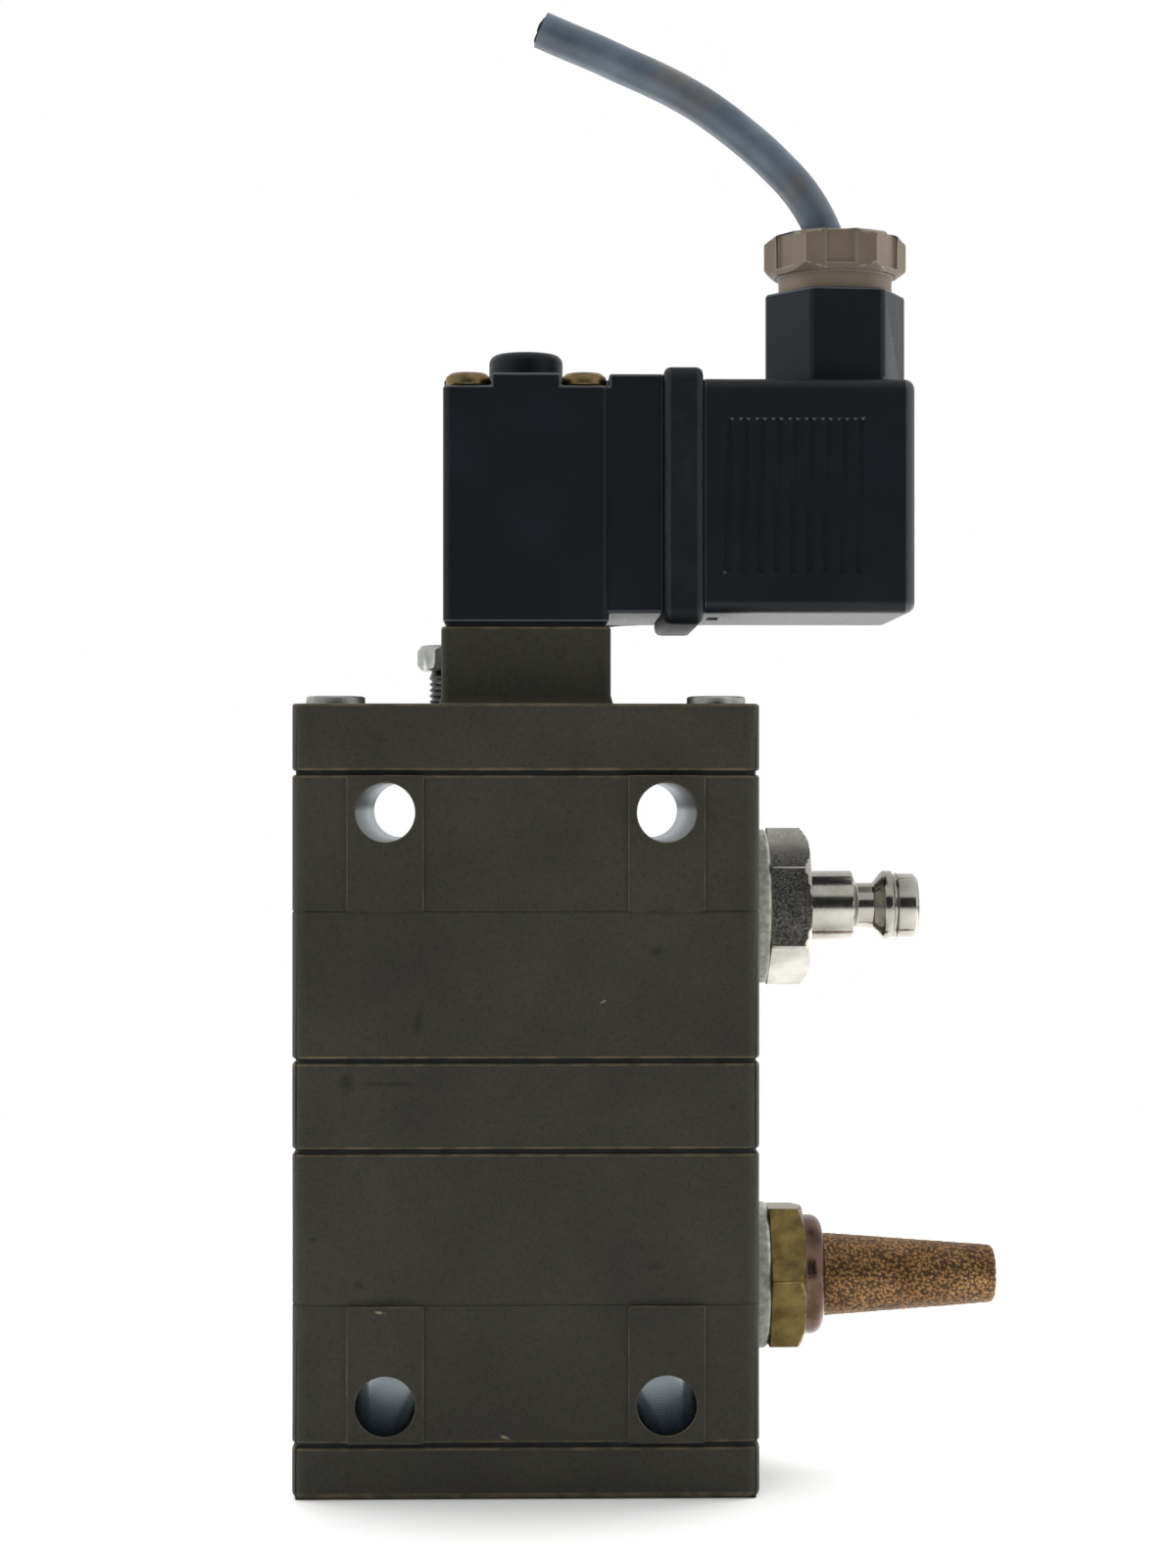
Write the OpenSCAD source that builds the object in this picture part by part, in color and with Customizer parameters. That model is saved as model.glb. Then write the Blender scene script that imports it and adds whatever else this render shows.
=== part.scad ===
// Solenoid pilot valve: a stack of cast bodies with a spool and a control piston inside, a plug
// nipple and a sintered bronze muffler on its right side, and a pilot coil with a cable plug on top.
// X runs to the right, Y to the back and Z up, and the origin is the centre of the base.

/* [Body stack] */
// Width of the body stack, left to right
body_w = 55; // [53:0.5:66]
// Depth of the body stack, front to back
body_d = 45; // [44:0.5:54]
// Radius of the upright corners
corner_r = 1.8; // [1:0.1:3]
// Thickness of the bottom cap
bottom_cap_t = 6.1; // [5:0.1:8]
// Height of the lower body, which holds the exhaust chamber
lower_body_h = 33.9; // [28.2:0.1:41]
// Thickness of the plate between the two bodies
mid_plate_t = 10.1; // [8:0.1:13]
// Height of the upper body, which holds the supply chamber and the piston bore
upper_body_h = 33.3; // [27.7:0.1:40]
// Thickness of the top cover
cover_t = 7.9; // [7:0.1:10]
// Thickness of each flat gasket between two layers
seal_t = 0.5; // [0.3:0.1:1]
// How far the gaskets stay back from the outside
seal_inset = 0.4; // [0.2:0.1:0.8]

/* [Mounting holes and screws] */
// Diameter of the mounting holes, which run front to back
mount_hole_d = 7; // [5:0.5:7.5]
// Distance from a mounting hole's axis to the side of the body
mount_inset_x = 11; // [10.8:0.1:11.5]
// Distance from a mounting hole's axis to the outer seam of its body
mount_inset_z = 4.4; // [4:0.1:5]
// Width of the raised pads round the mounting holes
pad_w = 9.1; // [8:0.1:10]
// Height of the raised pads
pad_h = 16.1; // [12:0.1:20]
// How far the pads stand proud
pad_proud = 0.4; // [0.2:0.1:1]
// Distance from a tie screw's axis to the side of the body
tie_inset_x = 4.9; // [4:0.1:5.2]
// Distance from a tie screw's axis to the front or back of the body
tie_inset_y = 5; // [4:0.1:7]
// Thread diameter of the tie screws
tie_d = 4; // [3:0.5:4]
// Diameter of the tie screws' heads
tie_head_d = 7; // [5.5:0.1:7.2]
// How far the tie screws' heads stand above the cover
tie_head_proud = 0.95; // [0:0.05:2]

/* [Ports] */
// Distance from a port's axis to the outer seam of its body
port_inset = 16.2; // [15:0.1:18]
// Thread diameter of the fittings
port_thread_d = 13.1; // [9:0.1:13.4]
// Depth of each port
port_depth = 12; // [10:0.5:13]
// Bore of the outlet's thread
outlet_bore_d = 11.8; // [8:0.1:12]
// Width across flats of both fittings' hexagons
fitting_af = 17; // [15:1:19]
// Thickness of the sealing washers
washer_t = 2.4; // [1:0.1:3]

/* [Spool and piston] */
// Diameter of the spool's lands
land_d = 14; // [12:0.5:15]
// Diameter of the spool's stem
stem_d = 7; // [5:0.5:8]
// Height of each land
land_h = 2.6; // [2:0.1:3]
// Travel of the spool
stroke = 4.5; // [3.7:0.05:5.4]
// Diameter of the control piston
piston_d = 23; // [18:0.5:23]
// Height of the control piston
piston_h = 4.2; // [3.5:0.1:5]
// Radial running clearance
run_gap = 0.05; // [0.02:0.01:0.1]

/* [Pilot coil] */
// Width of the coil block, left to right
coil_w = 20; // [17:0.5:24]
// Depth of the coil block, front to back
coil_d = 28; // [26:0.5:29]
// Height of the pedestal above the cover
pedestal_h = 9.5; // [8.5:0.1:12]
// Height of the coil block up to its screw pockets
coil_h = 28.5; // [24:0.5:34]
// How far the middle of the coil block stands above the screw pockets
ridge_h = 1.5; // [1:0.1:3]
// Outside diameter of the armature tube
tube_d = 9.4; // [8.6:0.1:10]
// Diameter of the override button
button_d = 9.15; // [7.6:0.05:11]
// Travel of the override button and the armature
pilot_stroke = 1; // [0.5:0.1:1.1]

/* [Plug] */
// Length of the neck between the coil block and the gasket
neck_l = 6.6; // [5:0.1:8]
// Width of the gasket band round the socket
band_w = 4.7; // [3:0.1:6]
// Length of the plug's housing
plug_l = 25.6; // [24:0.1:31]
// Height and depth of the plug's housing
plug_h = 28.3; // [25:0.1:34]
// Wall of the plug's housing
plug_wall = 2; // [1.5:0.1:2.5]
// Height of the gland tower above the housing
tower_h = 12.1; // [11:0.1:15]
// Width of the gland nut across its corners
nut_ac = 17.85; // [16:0.05:19]
// Diameter of the cable
cable_d = 4.6; // [3.5:0.1:5.2]

/* [Hidden] */
$fn = 48;

cast_paint = [0.33, 0.32, 0.28];
black_plastic = [0.10, 0.11, 0.13];
rubber_black = [0.07, 0.07, 0.08];
zinc_steel = [0.68, 0.70, 0.70];
brass = [0.66, 0.53, 0.30];
bronze = [0.58, 0.42, 0.24];
spring_steel = [0.60, 0.62, 0.64];
alloy = [0.75, 0.76, 0.77];
fibre = [0.62, 0.64, 0.60];
nut_beige = [0.55, 0.51, 0.45];
cable_grey = [0.30, 0.33, 0.37];
copper = [0.72, 0.42, 0.25];

eps = 0.01;             // overrun of a cut past a face
screw_gap = 0.05;       // radial play of a screw in its thread
hole_gap = 0.25;        // radial play of a screw in a plain hole

// Heights of the layers
z_bottom_seal = bottom_cap_t;
z_lower = z_bottom_seal + seal_t;
z_mid_seal = z_lower + lower_body_h;
z_mid = z_mid_seal + seal_t;
z_upper_seal = z_mid + mid_plate_t;
z_upper = z_upper_seal + seal_t;
z_cover_seal = z_upper + upper_body_h;
z_cover = z_cover_seal + seal_t;
z_top = z_cover + cover_t;

// Mounting holes, ports and tie screws
z_mount_low = z_lower + mount_inset_z;
z_mount_high = z_cover_seal - mount_inset_z;
mount_x = body_w / 2 - mount_inset_x;
z_exhaust = z_lower + port_inset;
z_inlet = z_cover_seal - port_inset;
tie_x = body_w / 2 - tie_inset_x;
tie_y = body_d / 2 - tie_inset_y;
tie_head_h = 4;
tie_thread_l = 4.2;     // length of thread in the bottom cap
tie_spots = [for (x = [-tie_x, tie_x], y = [-tie_y, tie_y]) [x, y]];

// Chambers, seats and the spool
chamber_r = 10;         // supply and exhaust chambers
outlet_r = 9;           // outlet chamber, between the two seats
seat_rise = 5.2;        // from a body's inner seam to its seat
seat_h = land_h + 0.4;
z_low_seat = z_mid_seal - seat_rise - seat_h;
z_high_seat = z_upper + seat_rise;
z_high_land = z_high_seat + 0.2;
z_low_land = z_low_seat + 0.2 + stroke;
piston_room = piston_h + stroke + 0.5;
z_piston_floor = z_cover_seal - piston_room;
z_piston = z_piston_floor + stroke + 0.2;
partition_t = 3.2;      // wall between the supply chamber and the piston bore
z_partition = z_piston_floor - partition_t;
passage_r = 3.7;        // from a port to its chamber
duct_r = 3;             // from the outlet port down to the outlet chamber
duct_x = -body_w / 2 + port_depth - duct_r + 1;
duct_floor = z_upper_seal - 7;
guide_r = 3;            // lower end of the spool
guide_floor = 1.8;
guide_top = bottom_cap_t + 7.9;
guide_boss_r = 5.5;
z_guide_tip = guide_floor + 0.4 + stroke;
z_collar = guide_top + stroke + 3;
collar_t = 1.5;
collar_r = 8;
ring_depth = 1;         // depth of the grooves for the rubber rings
land_ring_h = 1.2;
piston_ring_h = 2;
bush_wall = 1.6;
spigot_r = 2.5;         // top of the spool, through the piston
nut_h = 2.4;
nut_af = 8;
piston_head_room = nut_h + 0.3;

// Pedestal and pilot valve
z_pedestal = z_top + pedestal_h;
z_coil = z_pedestal + seal_t;
z_pockets = z_coil + coil_h;
z_ridge = z_pockets + ridge_h;
pedestal_w = coil_w + 0.4;
pedestal_d = coil_d + 0.4;
pedestal_flare = 0.6;
tube_r = tube_d / 2;
tube_wall = 0.7;
flange_r = tube_r + 1.8;
flange_t = 1.2;
z_flange = z_pedestal - flange_t;
armature_r = tube_r - tube_wall - 0.08;
poppet_r = 3.2;
poppet_h = 2.4;
z_poppet = z_flange - 0.05 - poppet_h;
pilot_bore_r = 4;
z_pilot_floor = z_poppet - 4.8;
pole_rise = 9.8;
z_pole_top = z_coil + pole_rise;
z_armature = z_pole_top + pilot_stroke + 0.2;
armature_l = coil_h - pole_rise - 4.9;
z_armature_top = z_armature + armature_l;
tube_end_t = 1;
z_tube_top = z_armature_top + 1.2 + tube_end_t;
pin_r = 1;
stem_r = 1.5;
button_r = button_d / 2;
button_wall = 1.1;
button_gap = 0.175;     // radial play of the button in its well
override_wire = 0.5;
override_spring_r = button_r - button_wall - override_wire / 2 - 0.3;
z_button_top = z_ridge + 4.2;
z_button_roof = z_button_top - 1.8;
z_skirt = z_tube_top + pilot_stroke + 0.6;
winding_r = coil_w / 2 - 1.6;
bobbin_floor = z_coil + 3;
bobbin_l = coil_h - 6.5;
coil_screw_r = 1.5;
coil_screw_head_r = 2.75;
coil_screw_inset_x = 3;
coil_screw_inset_y = 3.2;
pocket_w = coil_screw_inset_x + coil_screw_head_r + 0.05;
pocket_d = coil_screw_inset_y + coil_screw_head_r + 0.4;
coil_screw_x = coil_w / 2 - coil_screw_inset_x;
coil_screw_y = coil_d / 2 - coil_screw_inset_y;
coil_screw_depth = 8;
coil_screw_spots = [for (x = [-coil_screw_x, coil_screw_x], y = [-coil_screw_y, coil_screw_y]) [x, y]];
throttle_r = 3;
throttle_af = 8;
throttle_x = -coil_w / 2 + 0.4;
throttle_y = pedestal_d / 2 + pedestal_flare + throttle_af / 2 - 0.2;
throttle_depth = 6;
throttle_head_z = z_top + 5.4;
throttle_head_h = 3.3;

// Neck, gasket band, plug and gland
plug_foot = 1.15;       // from the coil's underside to the plug's
z_plug = z_coil + plug_foot + plug_h / 2;
plug_x = coil_w / 2 + neck_l + band_w;
neck_h = plug_h + 0.5;
neck_d = coil_d - 1;
band_h = plug_h + 2.7;
band_d = plug_h + 1.9;
socket_s = plug_h - 4.9; // side of the square socket face inside the gasket band
socket_end = plug_x - 1;
band_corner = 2;
plug_corner = 1.5;
tower_x = plug_x + plug_l - 8.3;
tower_ac = 18;
tower_round = 8.75;
tower_turn = 6;
z_tower = z_plug + plug_h / 2;
z_tower_top = z_tower + tower_h;
gland_thread_r = 6.4;
gland_thread_l = 5.6;
gland_ring_r = 7.05;
gland_ring_h = 2.2;
gland_bore_r = 4.2;
nut_hex_h = 5;
grip_w = 3.6;
grip_depth = 0.5;
z_gland = z_tower_top - gland_thread_l;
gland_washer_t = 0.8;
grommet_h = 4.5;
z_grommet = z_gland - gland_washer_t - grommet_h;
cable_r = cable_d / 2;
z_tail = z_plug + 4.5;
block_l = 11;           // terminal block, along X
block_s = plug_h - 2 * plug_wall - 0.4;
block_x = plug_x + 0.5;
block_end = block_x + block_l;
plug_screw_r = 1.5;
plug_head_r = 2.75;
plug_head_t = 2;
plug_head_sink = 0.4;
plug_screw_depth = 7;
blade_w = 6.3;
blade_t = 0.8;
blade_l = 9;
blade_seat = 3;
blade_offset = socket_s / 2 - 3.1;
blade_spots = [[blade_offset, 0], [-blade_offset, 0], [0, -blade_offset]];
terminal_r = 1.5;
terminal_head_r = 2.4;
terminal_depth = 5;
core_r = 0.8;
groove_count = 9;       // in each side of the plug
groove_pitch = 1.98;
groove_w = 0.9;
groove_depth = 0.3;
groove_h = 18.6;
groove_x = plug_x + 3;

// Fittings
fitting_x = body_w / 2;
thread_l = 10;
thread_r = port_thread_d / 2;
washer_bore_r = thread_r + 0.15;
inlet_washer_r = 9.55;
muffler_washer_r = 9.05;
nipple_hex_t = 5.1;
nipple_bore_r = 2.7;
nipple_r = 4.4;
nipple_shank_l = 5.5;
nipple_turn = -1;
muffler_hex_t = 4.4;
muffler_turn = 27;
muffler_collar_r = 7.4;
muffler_lip_r = 6;
muffler_collar_l = 2.5;
element_r = 5.25;
element_tip_r = 3.65;
element_round = 0.9;
element_l = 21.7;
element_wall = 1.8;
element_seat = 2;

// Route of the cable: X and Z of its centre line, from inside the gland nut to its cut end
cable_route = [
    [38.6, 146.0], [38.6, 148.0], [38.1, 150.2], [37.3, 152.4], [36.3, 154.6], [35.0, 156.8],
    [33.4, 158.9], [31.4, 161.0], [29.2, 163.1], [26.8, 165.1], [24.2, 167.1], [21.4, 169.0],
    [18.4, 170.7], [15.3, 172.2], [12.1, 173.6], [8.8, 175.1], [5.4, 176.5], [1.9, 178.0]
];
cable_sides = 10;

// A rectangle with round corners, centred, as true arcs
module rounded_rect(w, d, r) {
    square([w - 2 * r, d], center = true);
    square([w, d - 2 * r], center = true);
    for (x = [r - w / 2, w / 2 - r], y = [r - d / 2, d / 2 - r]) translate([x, y]) circle(r);
}

// One level of the stack, from z up
module layer(z, h, inset = 0) {
    translate([0, 0, z])
        linear_extrude(h)
            rounded_rect(body_w - 2 * inset, body_d - 2 * inset, corner_r - inset);
}

// An upright cylinder between two heights
module post(x, y, z0, z1, r) {
    translate([x, y, z0]) cylinder(r = r, h = z1 - z0);
}

// A ring between two heights
module ring(z0, z1, r_out, r_in) {
    difference() {
        post(0, 0, z0, z1, r_out);
        post(0, 0, z0 - eps, z1 + eps, r_in);
    }
}

// Puts a shape that was drawn upwards on an axis that runs to the right
module along_x(x, y, z) {
    translate([x, y, z]) rotate([0, 90, 0]) children();
}

// A hexagonal prism, its corners turned down by a cone at one or both ends
module hexagon(af, h, chamfer_top = true, chamfer_bottom = false) {
    corner = af / sqrt(3);
    soft = 0.9;
    intersection() {
        cylinder(r = corner, h = h, $fn = 6);
        union() {
            translate([0, 0, soft]) cylinder(r = corner, h = h - 2 * soft);
            cylinder(r1 = chamfer_bottom ? af / 2 : corner, r2 = corner, h = soft);
            translate([0, 0, h - soft])
                cylinder(r1 = corner, r2 = chamfer_top ? af / 2 : corner, h = soft);
        }
    }
}

module tie_holes(z0, z1, r) {
    for (p = tie_spots) post(p[0], p[1], z0 - eps, z1 + eps, r);
}

// The two mounting holes at one height, front to back through the pads
module mount_holes(z) {
    reach = body_d + 2 * pad_proud + 2;
    for (x = [-mount_x, mount_x])
        translate([x, reach / 2, z]) rotate([90, 0, 0]) cylinder(d = mount_hole_d, h = reach);
}

// The four raised pads of one body, front and back
module pads(z) {
    for (x = [-mount_x, mount_x])
        translate([x - pad_w / 2, -body_d / 2 - pad_proud, z])
            cube([pad_w, body_d + 2 * pad_proud, pad_h]);
}

// A port in the right side, with its passage to the chamber in the middle
module right_port(z) {
    along_x(fitting_x - port_depth, 0, z) cylinder(r = thread_r + screw_gap, h = port_depth + eps);
    along_x(0, 0, z) cylinder(r = passage_r, h = fitting_x);
}

// Unit vector
function unit(v) = v / norm(v);

// Direction of a path at point i
function heading(path, i) =
    unit(path[min(i + 1, len(path) - 1)] - path[max(i - 1, 0)]);

// A round tube swept along a path, its rings turned about the direction given by up
module swept_tube(path, r, sides, up) {
    last = len(path) - 1;
    points = [
        for (i = [0:last])
            let (t = heading(path, i), a = unit(cross(up, t)), b = cross(t, a))
            for (k = [0:sides - 1])
                path[i] + r * (cos(360 * k / sides) * a + sin(360 * k / sides) * b)
    ];
    side_faces = [
        for (i = [0:last - 1], k = [0:sides - 1])
            let (n = (k + 1) % sides)
            [i * sides + k, (i + 1) * sides + k, (i + 1) * sides + n, i * sides + n]
    ];
    start_face = [for (k = [0:sides - 1]) k];
    end_face = [for (k = [sides - 1:-1:0]) last * sides + k];
    polyhedron(points, concat([start_face], side_faces, [end_face]), convexity = 6);
}

// A compression spring with closed ends, from z up
module spring(z, length, r, wire, turns, sides = 8) {
    steps = 20;
    rise = length - wire;
    end_rise = wire * 1.05;
    pitch = (rise - 2 * end_rise) / (turns - 2);
    function lift(n) =
        n < 1 ? n * end_rise
        : n > turns - 1 ? rise - (turns - n) * end_rise
        : end_rise + (n - 1) * pitch;
    path = [
        for (i = [0:turns * steps])
            [r * cos(360 * i / steps), r * sin(360 * i / steps), z + wire / 2 + lift(i / steps)]
    ];
    swept_tube(path, wire / 2, sides, [0, 0, 1]);
}

module bottom_cap() {
    color(cast_paint)
    difference() {
        union() {
            layer(0, bottom_cap_t);
            post(0, 0, bottom_cap_t - eps, guide_top, guide_boss_r);
        }
        post(0, 0, guide_floor, guide_top + eps, guide_r + run_gap);
        tie_holes(bottom_cap_t - tie_thread_l, bottom_cap_t, tie_d / 2 + screw_gap);
    }
}

module bottom_gasket() {
    color(rubber_black)
    difference() {
        layer(z_bottom_seal, seal_t, seal_inset);
        post(0, 0, z_bottom_seal - eps, z_lower + eps, chamber_r);
        tie_holes(z_bottom_seal, z_lower, tie_d / 2 + hole_gap);
    }
}

module lower_body() {
    color(cast_paint)
    difference() {
        union() {
            layer(z_lower, lower_body_h);
            pads(z_lower);
        }
        mount_holes(z_mount_low);
        tie_holes(z_lower, z_mid_seal, tie_d / 2 + hole_gap);
        post(0, 0, z_lower - eps, z_low_seat, chamber_r);
        post(0, 0, z_low_seat - eps, z_mid_seal, land_d / 2 + run_gap);
        post(0, 0, z_low_seat + seat_h, z_mid_seal + eps, outlet_r);
        right_port(z_exhaust);
    }
}

module lower_gasket() {
    color(rubber_black)
    difference() {
        layer(z_mid_seal, seal_t, seal_inset);
        post(0, 0, z_mid_seal - eps, z_mid + eps, outlet_r);
        tie_holes(z_mid_seal, z_mid, tie_d / 2 + hole_gap);
    }
}

// The way from the duct to the outlet chamber
module outlet_slot(z0, z1) {
    post(duct_x, 0, z0 - eps, z1 + eps, duct_r);
    translate([duct_x, -duct_r, z0 - eps]) cube([-duct_x, 2 * duct_r, z1 - z0 + 2 * eps]);
}

module mid_plate() {
    color(cast_paint)
    difference() {
        layer(z_mid, mid_plate_t);
        post(0, 0, z_mid - eps, z_upper_seal + eps, outlet_r);
        outlet_slot(duct_floor, z_upper_seal);
        tie_holes(z_mid, z_upper_seal, tie_d / 2 + hole_gap);
    }
}

module upper_gasket() {
    color(rubber_black)
    difference() {
        layer(z_upper_seal, seal_t, seal_inset);
        post(0, 0, z_upper_seal - eps, z_upper + eps, outlet_r);
        post(duct_x, 0, z_upper_seal - eps, z_upper + eps, duct_r);
        tie_holes(z_upper_seal, z_upper, tie_d / 2 + hole_gap);
    }
}

module upper_body() {
    color(cast_paint)
    difference() {
        union() {
            layer(z_upper, upper_body_h);
            pads(z_cover_seal - pad_h);
        }
        mount_holes(z_mount_high);
        tie_holes(z_upper, z_cover_seal, tie_d / 2 + hole_gap);
        post(0, 0, z_upper - eps, z_high_seat, outlet_r);
        post(0, 0, z_high_seat - eps, z_partition, land_d / 2 + run_gap);
        post(0, 0, z_high_seat + seat_h, z_partition, chamber_r);
        post(0, 0, z_partition - eps, z_piston_floor + eps, stem_d / 2 + bush_wall + screw_gap);
        post(0, 0, z_piston_floor, z_cover_seal + eps, piston_d / 2 + run_gap);
        right_port(z_inlet);
        along_x(-fitting_x - eps, 0, z_inlet) cylinder(d = outlet_bore_d, h = port_depth + eps);
        post(duct_x, 0, z_upper - eps, z_inlet, duct_r);
    }
}

module cover_gasket() {
    color(rubber_black)
    difference() {
        layer(z_cover_seal, seal_t, seal_inset);
        post(0, 0, z_cover_seal - eps, z_cover + eps, piston_d / 2 + run_gap);
        tie_holes(z_cover_seal, z_cover, tie_d / 2 + hole_gap);
    }
}

// The foot of the pilot valve, which flares a little where it meets the cover
module pedestal() {
    translate([0, 0, z_top - 1])
        linear_extrude(pedestal_h + 1) rounded_rect(pedestal_w, pedestal_d, 1);
    hull() {
        for (step = [0, 1])
            translate([0, 0, z_top - 1 + step * (1 + 2 * pedestal_flare)])
                linear_extrude(0.02)
                    rounded_rect(pedestal_w + 2 * pedestal_flare * (1 - step),
                        pedestal_d + 2 * pedestal_flare * (1 - step), 1, $fn = 32);
    }
}

module top_cover() {
    color(cast_paint)
    difference() {
        union() {
            layer(z_cover, cover_t);
            pedestal();
        }
        tie_holes(z_cover, z_top, tie_d / 2 + hole_gap);
        tie_holes(z_top + tie_head_proud - tie_head_h + eps, z_top, tie_head_d / 2 + hole_gap);
        post(0, 0, z_cover - eps, z_cover + piston_head_room, chamber_r);
        post(0, 0, z_cover, z_pilot_floor + eps, 1.2);
        post(0, 0, z_pilot_floor, z_flange + eps, pilot_bore_r);
        post(0, 0, z_flange, z_pedestal + eps, flange_r + screw_gap);
        for (p = coil_screw_spots)
            post(p[0], p[1], z_pedestal - coil_screw_depth, z_pedestal + eps, coil_screw_r + screw_gap);
        post(throttle_x, throttle_y, z_top - throttle_depth, z_top + eps, throttle_r + screw_gap);
    }
}

// Cap screws with a hexagon socket, from the cover down into the bottom cap
module tie_screws() {
    head_z = z_top + tie_head_proud - tie_head_h;
    color(zinc_steel)
    for (p = tie_spots)
        difference() {
            union() {
                post(p[0], p[1], bottom_cap_t - tie_thread_l + 0.2, head_z + eps, tie_d / 2);
                post(p[0], p[1], head_z, head_z + tie_head_h, tie_head_d / 2);
            }
            translate([p[0], p[1], head_z + tie_head_h - 2]) cylinder(d = 3.46, h = 3, $fn = 6);
        }
}

module throttle_screw() {
    color(zinc_steel) {
        post(throttle_x, throttle_y, z_top - throttle_depth + 0.3, throttle_head_z + eps, throttle_r);
        translate([throttle_x, throttle_y, throttle_head_z])
            hexagon(throttle_af, throttle_head_h, true, true);
    }
}

module flat_washer(x, z, r) {
    color(fibre)
    along_x(x, 0, z)
        difference() {
            cylinder(r = r, h = washer_t);
            translate([0, 0, -eps]) cylinder(r = washer_bore_r, h = washer_t + 2 * eps);
        }
}

module inlet_washer() {
    flat_washer(fitting_x, z_inlet, inlet_washer_r);
}

// Plug nipple: thread, hexagon, shank, locking neck and tip, with its bore right through
module inlet_nipple() {
    neck_r = 2.65;
    shank = washer_t + nipple_hex_t;
    outline = [
        [nipple_bore_r - 0.2, -thread_l], [thread_r - 0.6, -thread_l], [thread_r, 0.6 - thread_l],
        [thread_r, shank - 1], [nipple_r, shank - 1], [nipple_r, shank + nipple_shank_l],
        [neck_r + 0.25, shank + 6.1], [neck_r + 0.25, shank + 8.2], [nipple_r, shank + 9.4],
        [nipple_r, shank + 10.5], [nipple_r - 0.4, shank + 10.6], [nipple_r - 0.4, shank + 11.1],
        [nipple_r - 0.35, shank + 11.1], [nipple_r - 0.35, shank + 13.2],
        [nipple_r - 0.85, shank + 13.7], [nipple_bore_r - 0.2, shank + 13.7]
    ];
    color(zinc_steel)
    along_x(fitting_x, 0, z_inlet)
        difference() {
            union() {
                rotate_extrude() polygon(outline);
                translate([0, 0, washer_t]) rotate(nipple_turn) hexagon(fitting_af, nipple_hex_t);
            }
            translate([0, 0, -thread_l - 1])
                cylinder(r = nipple_bore_r - 0.2, h = thread_l + shank + 20);
        }
}

module muffler_washer() {
    flat_washer(fitting_x, z_exhaust, muffler_washer_r);
}

// Brass base of the muffler: thread, hexagon and the collar that is rolled over the element
module muffler_base() {
    roll = 1.5;
    z_hex_end = washer_t + muffler_hex_t;
    collar = [
        [0, -thread_l], [thread_r - 0.6, -thread_l], [thread_r, 0.6 - thread_l],
        [thread_r, z_hex_end - 1], [muffler_collar_r, z_hex_end - 1],
        [muffler_collar_r, z_hex_end + muffler_collar_l - roll],
        for (a = [15:15:75])
            [muffler_collar_r - roll + roll * cos(a), z_hex_end + muffler_collar_l - roll + roll * sin(a)],
        [muffler_lip_r, z_hex_end + muffler_collar_l], [0, z_hex_end + muffler_collar_l]
    ];
    color(brass)
    along_x(fitting_x, 0, z_exhaust)
        difference() {
            union() {
                rotate_extrude() polygon(collar);
                translate([0, 0, washer_t]) rotate(muffler_turn) hexagon(fitting_af, muffler_hex_t);
            }
            translate([0, 0, -thread_l - 1]) cylinder(r = 4, h = thread_l + z_hex_end + 10);
            translate([0, 0, z_hex_end + muffler_collar_l - element_seat])
                cylinder(r = element_r + screw_gap, h = 10);
        }
}

// Hollow cone of sintered bronze with a round closed end
module muffler_element() {
    start = washer_t + muffler_hex_t + muffler_collar_l - element_seat;
    full = element_l + element_seat;
    shoulder = element_tip_r - element_round;
    color(bronze)
    along_x(fitting_x + start, 0, z_exhaust)
        difference() {
            rotate_extrude()
                polygon([
                    [0, 0], [element_r, 0], [element_r, element_seat],
                    for (a = [0:15:90])
                        [shoulder + element_round * cos(a), full - element_round * (1 - sin(a))],
                    [0, full]
                ]);
            translate([0, 0, -eps])
                cylinder(r1 = element_r - element_wall, r2 = element_tip_r - element_wall / 2,
                    h = full - 2.5);
        }
}

// Spool: guide, spring collar, two lands with ring grooves, stem and the spigot for the piston
module spool() {
    ring_rise = (land_h - land_ring_h) / 2;
    color(alloy)
    difference() {
        union() {
            post(0, 0, z_guide_tip, z_collar + eps, guide_r);
            post(0, 0, z_collar, z_collar + collar_t, collar_r);
            post(0, 0, z_collar, z_piston, stem_d / 2);
            for (z = [z_low_land, z_high_land]) post(0, 0, z, z + land_h, land_d / 2);
            post(0, 0, z_piston - eps, z_piston + piston_h + nut_h, spigot_r);
        }
        for (z = [z_low_land, z_high_land])
            ring(z + ring_rise, z + ring_rise + land_ring_h, land_d, land_d / 2 - ring_depth);
    }
}

module spool_seals() {
    ring_rise = (land_h - land_ring_h) / 2;
    color(rubber_black)
    for (z = [z_low_land, z_high_land])
        ring(z + ring_rise + 0.02, z + ring_rise + land_ring_h - 0.02, land_d / 2 + run_gap / 2,
            land_d / 2 - ring_depth + 0.02);
}

module stem_bush() {
    color(brass)
    ring(z_partition, z_piston_floor, stem_d / 2 + bush_wall, stem_d / 2 + run_gap);
}

module return_spring() {
    color(spring_steel) spring(z_bottom_seal, z_collar - z_bottom_seal, 7, 1.3, 6);
}

module control_piston() {
    rise = (piston_h - piston_ring_h) / 2;
    color(alloy)
    difference() {
        post(0, 0, z_piston, z_piston + piston_h, piston_d / 2);
        post(0, 0, z_piston - eps, z_piston + piston_h + eps, spigot_r + screw_gap);
        ring(z_piston + rise, z_piston + rise + piston_ring_h, piston_d, piston_d / 2 - 2 * ring_depth);
    }
}

module piston_ring() {
    rise = (piston_h - piston_ring_h) / 2;
    color(rubber_black)
    ring(z_piston + rise + 0.02, z_piston + rise + piston_ring_h - 0.02,
        piston_d / 2 + run_gap / 2, piston_d / 2 - 2 * ring_depth + 0.02);
}

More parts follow.
